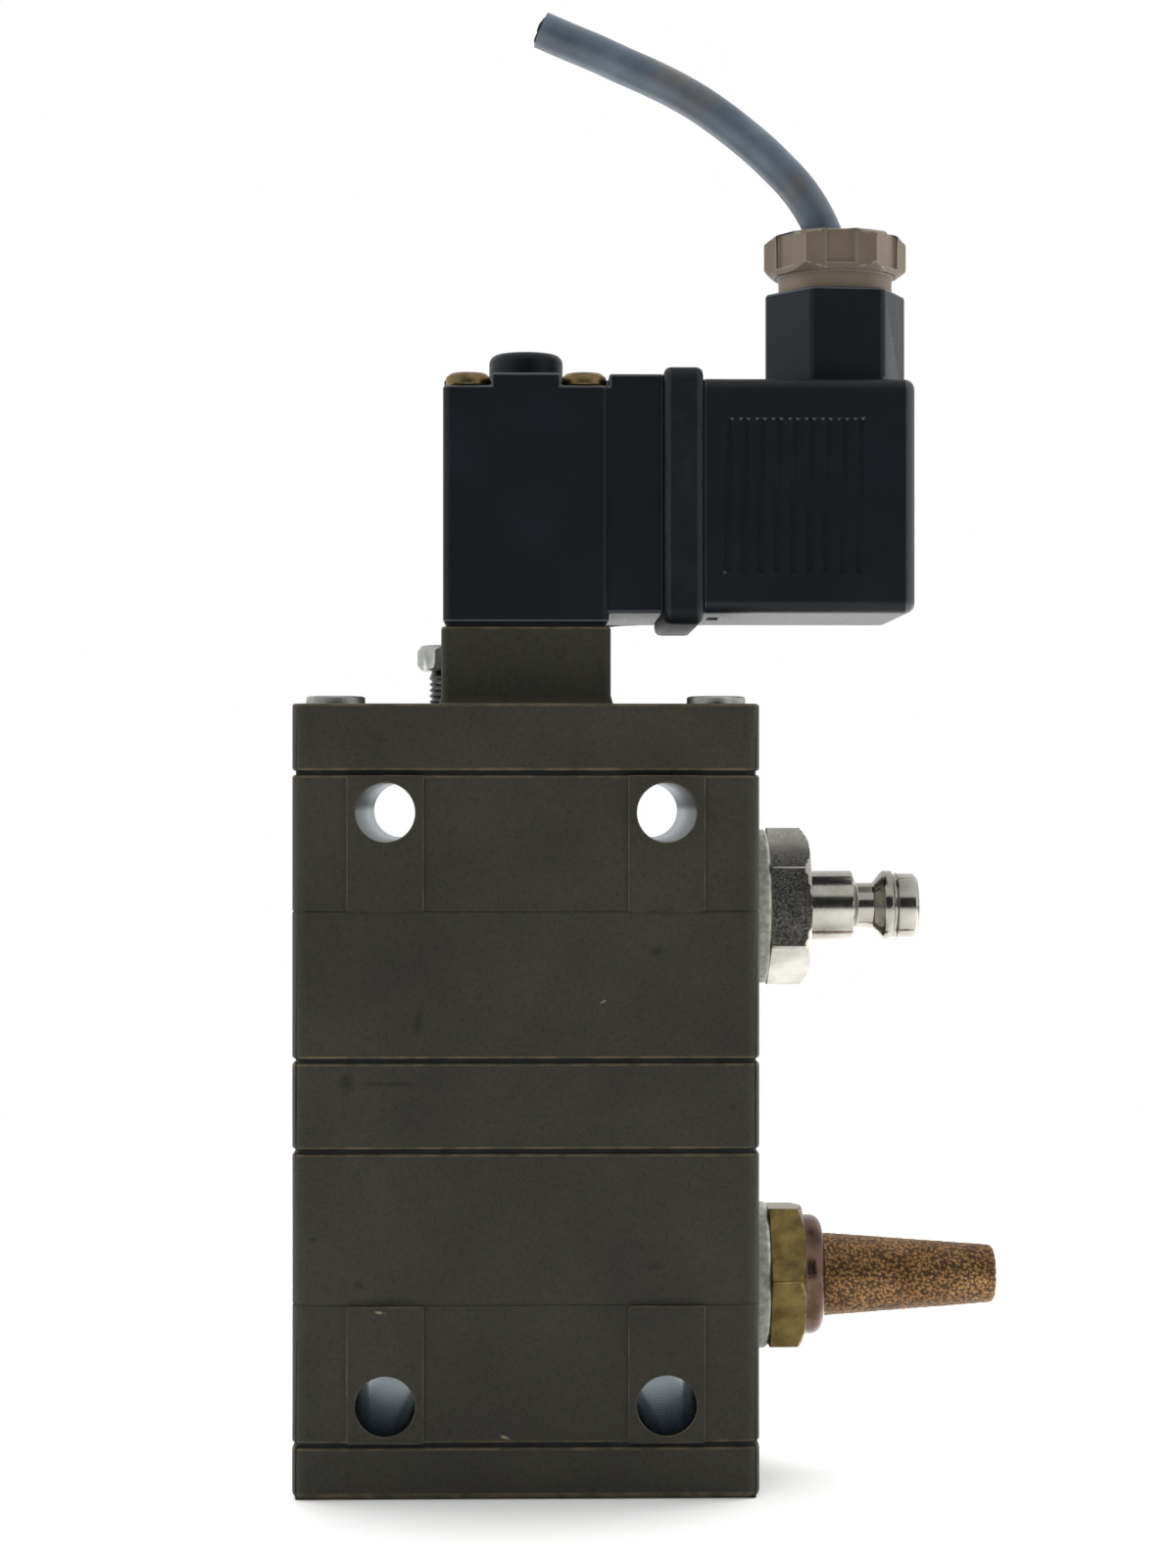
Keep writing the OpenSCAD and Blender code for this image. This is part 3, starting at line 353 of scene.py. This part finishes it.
def boredMetal():
    # aluminium bared by the drill: dark grey, darker than bare metal as painted shade inside the deep hole,
    # with rings round the hole
    material, tree, shader, point = newMaterial("bored_aluminium")
    rings = addNode(tree, "ShaderNodeTexWave",
                    {"bands_direction": "Y", "Scale": perMm(0.45) / 6.28, "Distortion": 1.2, "Detail": 2},
                    {"Vector": point})
    tone = addNode(tree, "ShaderNodeValToRGB", {"ramp": [(0, "#252b2e"), (1, "#434b4f")]},
                   {"Fac": rings.outputs["Fac"]})
    tree.links.new(tone.outputs["Color"], shader.inputs["Base Color"])
    shader.inputs["Metallic"].default_value = 1
    shader.inputs["Roughness"].default_value = 0.24
    # painted shade: the reflection is tinted darker in the front half of the hole and lighter behind,
    # towards the light
    axes = addNode(tree, "ShaderNodeSeparateXYZ", None, {0: point})
    depth = addNode(tree, "ShaderNodeMapRange", {"From Min": -22.5 * mm, "From Max": 8 * mm},
                    {"Value": axes.outputs["Y"]})
    shadeByDepth = addNode(tree, "ShaderNodeValToRGB", {"ramp": [(0, "#59636a"), (0.5, "#99a2a7"), (1, "#dfe6ea")]},
                    {"Fac": depth.outputs["Result"]})
    tree.links.new(shadeByDepth.outputs["Color"], shader.inputs["Specular Tint"])
    lift = addNode(tree, "ShaderNodeBump", {"Strength": 0.5, "Distance": 0.02 * mm},
                   {"Height": rings.outputs["Fac"]})
    tree.links.new(lift.outputs["Normal"], shader.inputs["Normal"])
    return material


def mouldedNylon(name, dark, light, roughness, grain=0.25, wearAndSheenTint="#3c434b"):
    # glass-filled nylon from a spark-eroded mould: even, satin, very fine grain, edges a little paler from
    # wear and partly as a painted highlight
    material, tree, shader, point = newMaterial(name)
    cloud = addNode(tree, "ShaderNodeTexNoise", {"Scale": perMm(9), "Detail": 4}, {"Vector": point})
    tone = addNode(tree, "ShaderNodeValToRGB", {"ramp": [(0.3, dark), (0.7, light)]},
                   {"Fac": cloud.outputs["Fac"]})
    worn = addNode(tree, "ShaderNodeAttribute", {"attribute_name": "worn"})
    # rounded edges mixed toward the paler tint: wear, and partly a painted highlight
    share = addNode(tree, "ShaderNodeMath", {"operation": "MULTIPLY", 1: 0.22}, {0: worn.outputs["Fac"]})
    colour = addNode(tree, "ShaderNodeMixRGB", {"Color2": linear(wearAndSheenTint)},
                     {"Fac": share.outputs[0], "Color1": tone.outputs["Color"]})
    tree.links.new(colour.outputs["Color"], shader.inputs["Base Color"])
    fibre = addNode(tree, "ShaderNodeTexNoise", {"Scale": perMm(grain), "Detail": 3}, {"Vector": point})
    gloss = addNode(tree, "ShaderNodeMapRange",
                    {"From Min": 0.3, "From Max": 0.7, "To Min": roughness - 0.07,
                     "To Max": roughness + 0.07},
                    {"Value": fibre.outputs["Fac"]})
    tree.links.new(gloss.outputs["Result"], shader.inputs["Roughness"])
    skin = addNode(tree, "ShaderNodeBump", {"Strength": 0.4, "Distance": 0.012 * mm},
                   {"Height": fibre.outputs["Fac"]})
    tree.links.new(skin.outputs["Normal"], shader.inputs["Normal"])
    shader.inputs["IOR"].default_value = 1.53
    # handling polishes the edges
    polish = addNode(tree, "ShaderNodeMapRange", {"To Min": 0.18, "To Max": 0.65},
                     {"Value": worn.outputs["Fac"]})
    tree.links.new(polish.outputs["Result"], shader.inputs["Specular IOR Level"])
    return material


def nitrileRubber():
    # moulded nitrile rubber: matt black with a dusty bloom, edges faintly polished
    material, tree, shader, point = newMaterial("nitrile_rubber")
    bloom = addNode(tree, "ShaderNodeTexNoise", {"Scale": perMm(3), "Detail": 6}, {"Vector": point})
    tone = addNode(tree, "ShaderNodeValToRGB",
                   {"ramp": [(0.35, "#0b0e10"), (0.6, "#101417"), (0.8, "#191d20")]},
                   {"Fac": bloom.outputs["Fac"]})
    tree.links.new(tone.outputs["Color"], shader.inputs["Base Color"])
    shader.inputs["Roughness"].default_value = 0.55
    shader.inputs["IOR"].default_value = 1.52
    worn = addNode(tree, "ShaderNodeAttribute", {"attribute_name": "worn"})
    polish = addNode(tree, "ShaderNodeMapRange", {"To Min": 0.15, "To Max": 0.34},
                     {"Value": worn.outputs["Fac"]})
    tree.links.new(polish.outputs["Result"], shader.inputs["Specular IOR Level"])
    skin = addNode(tree, "ShaderNodeBump", {"Strength": 0.3, "Distance": 0.02 * mm},
                   {"Height": bloom.outputs["Fac"]})
    tree.links.new(skin.outputs["Normal"], shader.inputs["Normal"])
    return material


def platedMetal(name, dark, light, roughness, blotch=2.5, scratch=0.5):
    # plated, turned or drawn metal: mirror-like, with small blotches and hair scratches
    material, tree, shader, point = newMaterial(name)
    stain = addNode(tree, "ShaderNodeTexNoise", {"Scale": perMm(blotch), "Detail": 6}, {"Vector": point})
    tone = addNode(tree, "ShaderNodeValToRGB", {"ramp": [(0.32, dark), (0.62, light)]},
                   {"Fac": stain.outputs["Fac"]})
    tree.links.new(tone.outputs["Color"], shader.inputs["Base Color"])
    shader.inputs["Metallic"].default_value = 1
    hair = addNode(tree, "ShaderNodeTexNoise", {"Scale": perMm(0.3), "Detail": 4}, {"Vector": point})
    gloss = addNode(tree, "ShaderNodeMapRange",
                    {"From Min": 0.3, "From Max": 0.7, "To Min": roughness - 0.05,
                     "To Max": roughness + 0.08},
                    {"Value": hair.outputs["Fac"]})
    tree.links.new(gloss.outputs["Result"], shader.inputs["Roughness"])
    skin = addNode(tree, "ShaderNodeBump", {"Strength": scratch * 0.4, "Distance": 0.008 * mm},
                   {"Height": hair.outputs["Fac"]})
    tree.links.new(skin.outputs["Normal"], shader.inputs["Normal"])
    return material


def sinteredBronze():
    # bronze beads baked together: bead tops painted bright as a painted highlight and the gaps painted dark
    # as painted shade; "grain" is each point's height on its bead
    material, tree, shader, point = newMaterial("sintered_bronze")
    grain = addNode(tree, "ShaderNodeAttribute", {"attribute_name": "grain"})
    # colour by bead height: painted highlight on the tops, painted shade in the gaps
    tone = addNode(tree, "ShaderNodeValToRGB",
                   {"ramp": [(0.05, "#4a3927"), (0.35, "#725739"), (0.7, "#94734a"), (1.0, "#bd935e")]},
                   {"Fac": grain.outputs["Fac"]})
    drift = addNode(tree, "ShaderNodeTexNoise", {"Scale": perMm(4), "Detail": 3}, {"Vector": point})
    driftTone = addNode(tree, "ShaderNodeValToRGB", {"ramp": [(0.35, "#c9b49c"), (0.65, "#ffffff")]},
                        {"Fac": drift.outputs["Fac"]})
    colour = addNode(tree, "ShaderNodeMixRGB", {"blend_type": "MULTIPLY", "Fac": 0.7},
                     {"Color1": tone.outputs["Color"], "Color2": driftTone.outputs["Color"]})
    tree.links.new(colour.outputs["Color"], shader.inputs["Base Color"])
    shader.inputs["Metallic"].default_value = 0.75
    shader.inputs["Roughness"].default_value = 0.48
    return material


def fibreWasher():
    # pressed sealing fibre: matt, pale grey-green, flecked
    material, tree, shader, point = newMaterial("pressed_fibre")
    fleck = addNode(tree, "ShaderNodeTexNoise", {"Scale": perMm(0.8), "Detail": 5}, {"Vector": point})
    tone = addNode(tree, "ShaderNodeValToRGB",
                   {"ramp": [(0.3, "#7f8179"), (0.55, "#9c9f95"), (0.8, "#b9bbb0")]},
                   {"Fac": fleck.outputs["Fac"]})
    tree.links.new(tone.outputs["Color"], shader.inputs["Base Color"])
    shader.inputs["Roughness"].default_value = 0.7
    skin = addNode(tree, "ShaderNodeBump", {"Strength": 0.4, "Distance": 0.03 * mm},
                   {"Height": fleck.outputs["Fac"]})
    tree.links.new(skin.outputs["Normal"], shader.inputs["Normal"])
    return material


def cableSheath():
    # extruded PVC: grey-blue, satin, with pale patches and brown smudges
    material, tree, shader, point = newMaterial("extruded_pvc")
    patch = addNode(tree, "ShaderNodeTexNoise", {"Scale": perMm(5), "Detail": 5}, {"Vector": point})
    tone = addNode(tree, "ShaderNodeValToRGB",
                   {"ramp": [(0.3, "#373f49"), (0.55, "#46505b"), (0.8, "#596470")]},
                   {"Fac": patch.outputs["Fac"]})
    smudge = addNode(tree, "ShaderNodeTexNoise", {"Scale": perMm(8), "Detail": 3}, {"Vector": point})
    smudged = addNode(tree, "ShaderNodeMapRange",
                      {"From Min": 0.56, "From Max": 0.72, "To Min": 0, "To Max": 0.5},
                      {"Value": smudge.outputs["Fac"]})
    colour = addNode(tree, "ShaderNodeMixRGB", {"Color2": linear("#5b4f43")},
                     {"Fac": smudged.outputs["Result"], "Color1": tone.outputs["Color"]})
    tree.links.new(colour.outputs["Color"], shader.inputs["Base Color"])
    shader.inputs["Roughness"].default_value = 0.42
    shader.inputs["IOR"].default_value = 1.53
    fine = addNode(tree, "ShaderNodeTexNoise", {"Scale": perMm(0.4), "Detail": 3}, {"Vector": point})
    skin = addNode(tree, "ShaderNodeBump", {"Strength": 0.3, "Distance": 0.007 * mm},
                   {"Height": fine.outputs["Fac"]})
    tree.links.new(skin.outputs["Normal"], shader.inputs["Normal"])
    return material


paintSettings = {
    "dark": "#2a2924",
    "light": "#32312a",
    # lighter colour of the rounded edges: rubbed paint, and partly a painted highlight
    "rubbedAndHighlight": "#6b604a",
    # dark colour of the scuffs and of the painted shade over the lower pads
    "scuffAndShadeColour": "#171613",
    "grain": 0.35,  # mm
    "roughness": 0.52,
    "bare": "#a39a7c",
    # marks on the front: X, Z, half width, half height in mm, and turn in degrees
    # the last two are painted shade along the top of the lower pads, where the ledge lies in shadow
    "scuffsAndShade": [
        (-21.0, 48.9, 1.5, 2.6, 0), (-19.6, 25.1, 0.9, 0.8, 0), (24.3, 45.9, 0.7, 0.8, 0),
        (15.4, 64.2, 1.6, 0.9, 0), (15.2, 27.3, 1.7, 0.8, 0), (-24.9, 30.5, 0.6, 0.6, 0),
        (-12.6, 56.0, 1.0, 2.4, 0), (-16.0, 48.7, 6.0, 0.5, 0),
        # painted shade along the top of the two lower pads
        (-16.5, 23.1, 7.0, 0.8, 0), (16.5, 23.1, 7.0, 0.8, 0),
    ],
    "scratches": [(-2.5, 7.3, 1.0, 0.3, 20), (-17.1, 22.0, 1.2, 0.28, 8), (9.0, 58.3, 0.7, 0.2, -30)],
}

paint = castPaint(paintSettings)
boreMetal = boredMetal()
blackNylon = mouldedNylon("glass_filled_nylon", "#0c0f13", "#11151a", 0.4)
beigeNylon = mouldedNylon("beige_nylon", "#584f43", "#675d50", 0.5, wearAndSheenTint="#8a8071")
whiteNylon = mouldedNylon("natural_nylon", "#d8d3c5", "#e6e2d6", 0.45, wearAndSheenTint="#f0ede4")
rubber = nitrileRubber()
zinc = platedMetal("zinc_plated_steel", "#8f9290", "#b9bbb7", 0.38)
# the screw's thread is given this darker steel as painted shade, for its shadow under the head
threadSteelInShade = platedMetal("thread_steel_painted_shade", "#3a3c3b", "#5c5f5d", 0.35)
nickel = platedMetal("nickel_plated_steel", "#86847d", "#b4b1a9", 0.17, blotch=6, scratch=0.3)
brassHex = platedMetal("drawn_brass", "#57492c", "#7d6b40", 0.3)
brassScrew = platedMetal("tarnished_brass", "#5c5039", "#84704e", 0.38)
collarMetal = platedMetal("rolled_brown_brass", "#49382f", "#6c554a", 0.24, blotch=3)
turnedAlloy = platedMetal("turned_aluminium", "#b5b7b9", "#d2d4d6", 0.3)
springSteel = platedMetal("drawn_spring_steel", "#83868a", "#a9acb0", 0.28)
copperWire = platedMetal("enamelled_copper", "#8a4a28", "#b5693c", 0.3)
bronze = sinteredBronze()
fibre = fibreWasher()
sheath = cableSheath()
print("materials made")


# Cable

cableSettings = {
    "radius": 2.3,
    # X and Z of the centre line, from inside the nut to the cut end
    "route": [
        (38.6, 146.0), (38.6, 148.0), (38.1, 150.2), (37.3, 152.4), (36.3, 154.6), (35.0, 156.8),
        (33.4, 158.9), (31.4, 161.0), (29.2, 163.1), (26.8, 165.1), (24.2, 167.1), (21.4, 169.0),
        (18.4, 170.7), (15.3, 172.2), (12.1, 173.6), (8.8, 175.1), (5.4, 176.5), (1.9, 178.0),
    ],
    "coreCount": 3,
    "coreRadius": 0.8,
    "coreRing": 1.05,  # centre of the cable to the centre of a core
}


def makeCable(s):
    points = [Vector((x, 0, z)) * mm for x, z in s["route"]]
    curve = bpy.data.curves.new("cable_sheath", "CURVE")
    curve.dimensions = "3D"
    spline = curve.splines.new("BEZIER")
    spline.bezier_points.add(len(points) - 1)
    for knot, p in zip(spline.bezier_points, points):
        knot.co = p
        knot.handle_left_type = knot.handle_right_type = "AUTO"
    spline.resolution_u = 8
    curve.bevel_depth = s["radius"] * mm
    curve.bevel_resolution = 10
    curve.use_fill_caps = True
    curve.materials.append(sheath)
    cable = bpy.data.objects.new("cable_sheath", curve)
    bpy.context.scene.collection.objects.link(cable)
    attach(cable, "housing")
    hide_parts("cable")
    # the cut end: three cores, each with copper in its middle
    heading = (points[-1] - points[-2]).normalized()
    turn = heading.to_track_quat("Z", "Y").to_matrix().to_4x4()
    bm = bmesh.new()
    for i in range(s["coreCount"]):
        a = math.tau * i / s["coreCount"]
        spot = Matrix.Translation(
            (s["coreRing"] * mm * math.cos(a), s["coreRing"] * mm * math.sin(a), 0.1 * mm))
        made = bmesh.ops.create_cone(bm, cap_ends=True, segments=24, radius1=s["coreRadius"] * mm,
                                     radius2=s["coreRadius"] * mm, depth=0.3 * mm, matrix=spot)
        top = max({f for v in made["verts"] for f in v.link_faces}, key=lambda f: f.calc_center_median().z)
        bmesh.ops.inset_region(bm, faces=[top], thickness=0.28 * mm)
        top.material_index = 1
        bmesh.ops.translate(bm, verts=top.verts, vec=(0, 0, 0.12 * mm))
    bmesh.ops.transform(bm, matrix=Matrix.Translation(points[-1]) @ turn, verts=bm.verts)
    cores = place("cable_core_ends", bm, [rubber, copperWire], "housing", "copper")


makeCable(cableSettings)


# Cast bodies

stackSettings = {
    "edge": 0.32,  # mm, radius of the castings' edges
    "footEdge": 0.8,  # of the lowest edges
    "padEdge": 0.14,  # of the raised pads
    "coverFrom": 7,  # mm above the cover's underside: edges from here up are rounded too
    "boreClear": 6,  # but not the ones round the pilot's bore
    "partingDepth": 0.18,
    "partingHalf": 0.12,
    "partings": {"upper_body": 68.9, "lower_body": 22.8},  # mm above the base
    "holeInset": 11,  # mm, mounting hole's axis to the side
    "holeRise": 4.4,  # to the nearest end of the two bodies
    "boreReach": 3.62,  # faces this near a mounting hole's axis are bare metal
}

stackLow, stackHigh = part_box("upper_body")
sideX = stackHigh.x / mm
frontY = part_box("bottom_cap")[1].y / mm


def holeHeights(rise):
    low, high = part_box("lower_body")[0].z / mm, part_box("upper_body")[1].z / mm
    return low + rise, high - rise


def cutParting(bm, height, s):
    # a fine line where the two halves of the mould met
    for z in (height - s["partingHalf"], height, height + s["partingHalf"]):
        bmesh.ops.bisect_plane(bm, geom=bm.verts[:] + bm.edges[:] + bm.faces[:], dist=1e-7,
                               plane_co=(0, 0, z * mm), plane_no=(0, 0, 1))
    for v in bm.verts:
        if abs(v.co.z / mm - height) < 0.01:
            if abs(v.co.y) / mm > frontY - 1:
                v.co.y -= math.copysign(s["partingDepth"] * mm, v.co.y)
            if abs(v.co.x) / mm > sideX - 1:
                v.co.x -= math.copysign(s["partingDepth"] * mm, v.co.x)


def outside(p):
    return abs(p.x) > sideX - 0.5 or abs(p.y) > frontY - 0.5


def makeCastings(s):
    heights = holeHeights(s["holeRise"])
    holeX = sideX - s["holeInset"]
    for node in ("bottom_cap", "lower_body", "mid_plate", "upper_body", "top_cover"):
        bm = copyOf(node)
        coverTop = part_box("top_cover")[0].z / mm + s["coverFrom"]

        def shown(p, node=node, coverTop=coverTop):
            clear = Vector((p.x, p.y)).length > s["boreClear"]
            return outside(p) or (node == "top_cover" and p.z > coverTop and clear)

        if node == "bottom_cap":
            softenEdges(bm, s["footEdge"], keep=lambda p: p.z < 0.1 and outside(p))
        if node in s["partings"]:
            softenEdges(bm, s["padEdge"], keep=lambda p: abs(p.y) > frontY + 0.3)
        softenEdges(bm, s["edge"], keep=shown)
        if node in s["partings"]:
            cutParting(bm, s["partings"][node], s)
        for face in bm.faces:
            c = face.calc_center_median() / mm
            for z in heights:
                if math.hypot(abs(c.x) - holeX, c.z - z) < s["boreReach"] and abs(face.normal.y) < 0.5:
                    face.material_index = 1
        place(node + "_casting", bm, [paint, boreMetal], "housing", "cast_paint", node)
        print(node, "made")


makeCastings(stackSettings)


# Gaskets, washers, screws and nuts that keep their construction shape, with rounded edges

softened = {
    "bottom_gasket": ("sheet", 0.12, rubber, "rubber_black"),
    "lower_gasket": ("sheet", 0.12, rubber, "rubber_black"),
    "upper_gasket": ("sheet", 0.12, rubber, "rubber_black"),
    "cover_gasket": ("sheet", 0.12, rubber, "rubber_black"),
    "pilot_gasket": ("sheet", 0.12, rubber, "rubber_black"),
    "tie_screws": ("steel", 0.3, zinc, "zinc_steel"),
    "inlet_washer": ("pressed", 0.45, fibre, "fibre"),
    "muffler_washer": ("pressed", 0.45, fibre, "fibre"),
    "inlet_nipple": ("plated", 0.18, nickel, "zinc_steel"),
    "coil_screws": ("turned", 0.32, brassScrew, "brass"),
    "coil_body": ("block", 0.32, blackNylon, "black_plastic"),
    "plug_gasket": ("band", 0.8, rubber, "rubber_black"),
    "plug_housing": ("housing", 0.35, blackNylon, "black_plastic"),
    "plug_screw": ("steel", 0.25, zinc, "zinc_steel"),
    "gland_nut": ("moulded", 0.16, beigeNylon, "nut_beige"),
}


plugEndSettings = {
    "round": 1.2,  # mm
    "from": 18,  # past the contact blades
    "clear": 10,  # of the screw's axis, so that its recess stays sharp
    "below": 16,  # under the gland tower
}


def roundPlugEnd(bm, s):
    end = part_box("contact_blades")[1].x / mm + s["from"]
    low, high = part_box("plug_screw")
    middle = (low.z + high.z) / 2 / mm

    def atEnd(p):
        aside = max(abs(p.y), abs(p.z - middle))
        return p.x > end and aside > s["clear"] and p.z < middle + s["below"]

    softenEdges(bm, s["round"], segments=5, keep=atEnd)
    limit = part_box("plug_housing")[1].x
    for v in bm.verts:
        v.co.x = min(v.co.x, limit)


def makeSoftened(table):
    for node, (word, width, material, slotName) in table.items():
        bm = copyOf(node)
        if node == "plug_housing":
            roundPlugEnd(bm, plugEndSettings)
        softenEdges(bm, width)
        place(node + "_" + word, bm, [material], "housing", slotName, node)
    print(len(table), "pieces with rounded edges made")


makeSoftened(softened)


# Muffler: brass hexagon with its rolled collar, and the sintered element

mufflerSettings = {
    "edge": 0.2,
    "collarWide": 2.5,  # mm
    "elementRadius": 5.25,
    "elementTipRadius": 3.65,
    "tipRound": 0.9,
    "start": 1.2,  # mm hidden in the collar
    "bead": 0.36,  # mm, diameter of a bead
    "relief": 0.09,
    "ringStep": 0.16,
    "around": 210,
}


def makeMufflerBase(s):
    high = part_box("muffler_base")[1]
    bm = copyOf("muffler_base")
    softenEdges(bm, s["edge"], angle=20)
    start = high.x / mm - s["collarWide"]
    for face in bm.faces:
        if face.calc_center_median().x / mm > start:
            face.material_index = 1
    place("muffler_hexagon_and_collar", bm, [brassHex, collarMetal], "housing", "brass", "muffler_base")


def makeElement(s):
    low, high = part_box("muffler_element")
    z = (low.z + high.z) / 2 / mm
    length = (high.x - low.x) / mm - s["relief"]
    shoulder = s["elementTipRadius"] - s["tipRound"]
    straight = length - s["tipRound"]
    reach = straight - s["start"]
    rings = round(reach / s["ringStep"])
    outline = [
        (s["elementRadius"] + (s["elementTipRadius"] - s["elementRadius"]) * i / rings,
         s["start"] + reach * i / rings) for i in range(rings)
    ]
    outline += arc(shoulder, straight, s["tipRound"], 0, 90, 8)
    steps = round(shoulder / s["ringStep"])
    outline += [(shoulder * (1 - i / steps), length) for i in range(1, steps + 1)]
    bm = bmesh.new()
    lathe(bm, outline, s["around"], "X", (low.x / mm, 0, z))
    grain = bm.verts.layers.float.new("grain")
    bm.normal_update()
    moves = []
    for v in bm.verts:
        distances, _ = noise.voronoi(v.co / (s["bead"] * mm))
        bead = max(0.0, 1 - (distances[0] / 0.62) ** 2)  # 1 on a bead's top, 0 in the gaps
        v[grain] = bead
        moves.append((v, v.normal * (bead - 1) * s["relief"] * mm))
    for v, move in moves:
        v.co += move
    place("muffler_beads", bm, [bronze], "housing", "bronze", "muffler_element")
    print("muffler made")


makeMufflerBase(mufflerSettings)
makeElement(mufflerSettings)


# Button on the coil

buttonSettings = {
    "rim": 1.1,
    "crown": 0.2,  # mm, rise of the dome from its rim to its middle
    "wall": 1.1,
    "roof": 1.8,
    "peg": 1.5,  # radius of the stem that pushes the armature
    "steps": 64,
}


def makeButton(s):
    low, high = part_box("override_button")
    radius, top = high.x / mm, high.z / mm
    wall, roof = radius - s["wall"], top - s["roof"]
    skirt = roof
    for v in nodes["override_button"].data.vertices:
        if abs(math.hypot(v.co.x, v.co.y) / mm - radius) < 0.05:
            skirt = min(skirt, v.co.z / mm)
    reach = radius - s["rim"]
    outline = [(reach * i / 10, top - s["crown"] * (i / 10) ** 2) for i in range(10)]
    outline += arc(reach, top - s["crown"] - s["rim"], s["rim"], 78, 0, 8)
    foot = low.z / mm
    outline += [(radius, skirt), (wall, skirt), (wall, roof), (s["peg"], roof), (s["peg"], foot), (0, foot)]
    bm = bmesh.new()
    lathe(bm, outline, s["steps"], "Z", (0, 0, 0))
    place("button_cap", bm, [blackNylon], "button", "black_plastic", "override_button")
    print("button made")


makeButton(buttonSettings)


# Throttle screw behind the pedestal, with its thread

screwSettings = {
    "radius": 3,  # mm, over the thread
    "head": 3.29,
    "overlap": 0.04,  # thread into head
    "pitch": 0.75,
    "depth": 0.4,
    "edge": 0.25,
    "steps": 48,
}


def makeThrottleScrew(s):
    low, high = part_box("throttle_screw")
    middle = (low + high) / 2 / mm
    bm = copyOf("throttle_screw")
    bmesh.ops.bisect_plane(bm, geom=bm.verts[:] + bm.edges[:] + bm.faces[:], dist=1e-7,
                           plane_co=(0, 0, high.z - s["head"] * mm), plane_no=(0, 0, 1), clear_inner=True)
    bmesh.ops.holes_fill(bm, edges=[e for e in bm.edges if e.is_boundary])
    softenEdges(bm, s["edge"])
    bottom, top = low.z / mm, high.z / mm - s["head"] + s["overlap"]
    root = s["radius"] - s["depth"]
    turns = int((top - bottom) / s["pitch"])
    outline = [(0, bottom)]
    for i in range(turns):
        z = bottom + i * s["pitch"]
        outline += [(root, z), (s["radius"], z + s["pitch"] * 0.45), (s["radius"], z + s["pitch"] * 0.55)]
    outline += [(root, top), (0, top)]
    thread = bmesh.new()
    lathe(thread, outline, s["steps"], "Z", (middle.x, middle.y, 0))
    # the thread takes the darker steel: painted shade under the head
    for face in thread.faces:
        face.material_index = 1
    threadMesh = bpy.data.meshes.new("thread")
    thread.to_mesh(threadMesh)
    thread.free()
    bm.from_mesh(threadMesh)
    bpy.data.meshes.remove(threadMesh)
    place("throttle_screw_threaded", bm, [zinc, threadSteelInShade], "housing", "zinc_steel", "throttle_screw")
    print("throttle screw made")


makeThrottleScrew(screwSettings)


# Details that the construction leaves out: the outlet's thread and the rubber lip in the gland nut

threadSettings = {
    "bore": 5.9,
    "start": 0.6,  # mm in from the side
    "lap": 0.03,  # mm that the ring reaches into the body
    "pitch": 1.34,  # mm, a quarter inch pipe thread
    "depth": 0.5,
    "length": 11,
    "height": 68.7,
    "steps": 64,
}


def makeOutletThread(s):
    start = -sideX + s["start"]
    turns = int(s["length"] / s["pitch"])
    outline = []
    for i in range(turns):
        x = start + i * s["pitch"]
        outline += [(s["bore"] - 0.02, x), (s["bore"] - s["depth"], x + s["pitch"] * 0.42),
                    (s["bore"] - s["depth"], x + s["pitch"] * 0.58)]
    outline.append((s["bore"] - 0.02, start + turns * s["pitch"]))
    back = s["bore"] + s["lap"]
    outline += [(back, outline[-1][1]), (back, start), outline[0]]
    bm = bmesh.new()
    lathe(bm, outline, s["steps"], "X", (0, 0, s["height"]))
    place("outlet_thread", bm, [boreMetal], "housing", "alloy")
    print("outlet thread made")


lipSettings = {
    "inner": 2.34,  # mm, round the cable
    "outer": 4.15,
    "bottom": 145.6,
    "top": 148.4,
    "crown": 0.5,
    "steps": 56,
}


def makeGlandLip(s):
    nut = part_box("gland_nut")
    x = (nut[0].x + nut[1].x) / 2 / mm
    middle = (s["inner"] + s["outer"]) / 2
    half = (s["outer"] - s["inner"]) / 2
    shoulder = s["top"] - s["crown"]
    outline = [(s["inner"], s["bottom"]), (s["outer"], s["bottom"]), (s["outer"], shoulder)]
    outline += [
        (middle + half * math.cos(math.radians(a)), shoulder + s["crown"] * math.sin(math.radians(a)))
        for a in range(20, 180, 20)
    ]
    outline += [(s["inner"], shoulder), (s["inner"], s["bottom"])]
    bm = bmesh.new()
    lathe(bm, outline, s["steps"], "Z", (x, 0, 0))
    place("gland_rubber_lip", bm, [rubber], "housing", "rubber_black")
    print("gland lip made")


makeOutletThread(threadSettings)
makeGlandLip(lipSettings)


# Inner pieces keep their construction mesh and get their metal, rubber or plastic

innerFinishes = {
    "spool": turnedAlloy, "control_piston": turnedAlloy,
    "spool_seals": rubber, "piston_ring": rubber, "pilot_poppet": rubber, "gland_grommet": rubber,
    "cable_cores": rubber,
    "stem_bush": brassScrew, "push_pin": brassScrew, "terminal_screws": brassScrew,
    "return_spring": springSteel, "pilot_spring": springSteel, "override_spring": springSteel,
    "armature": springSteel, "pole_piece": springSteel,
    "armature_tube": zinc, "piston_nut": zinc, "contact_blades": zinc, "gland_washer": zinc,
    "coil_bobbin": whiteNylon, "coil_winding": copperWire, "terminal_block": blackNylon,
    "cable_tail": sheath,
}


def finishInner(table):
    for node, material in table.items():
        for holder in nodes[node].material_slots:
            holder.material = material
    print(len(table), "inner pieces finished")


finishInner(innerFinishes)

bpy.context.scene.view_settings.view_transform = "Standard"
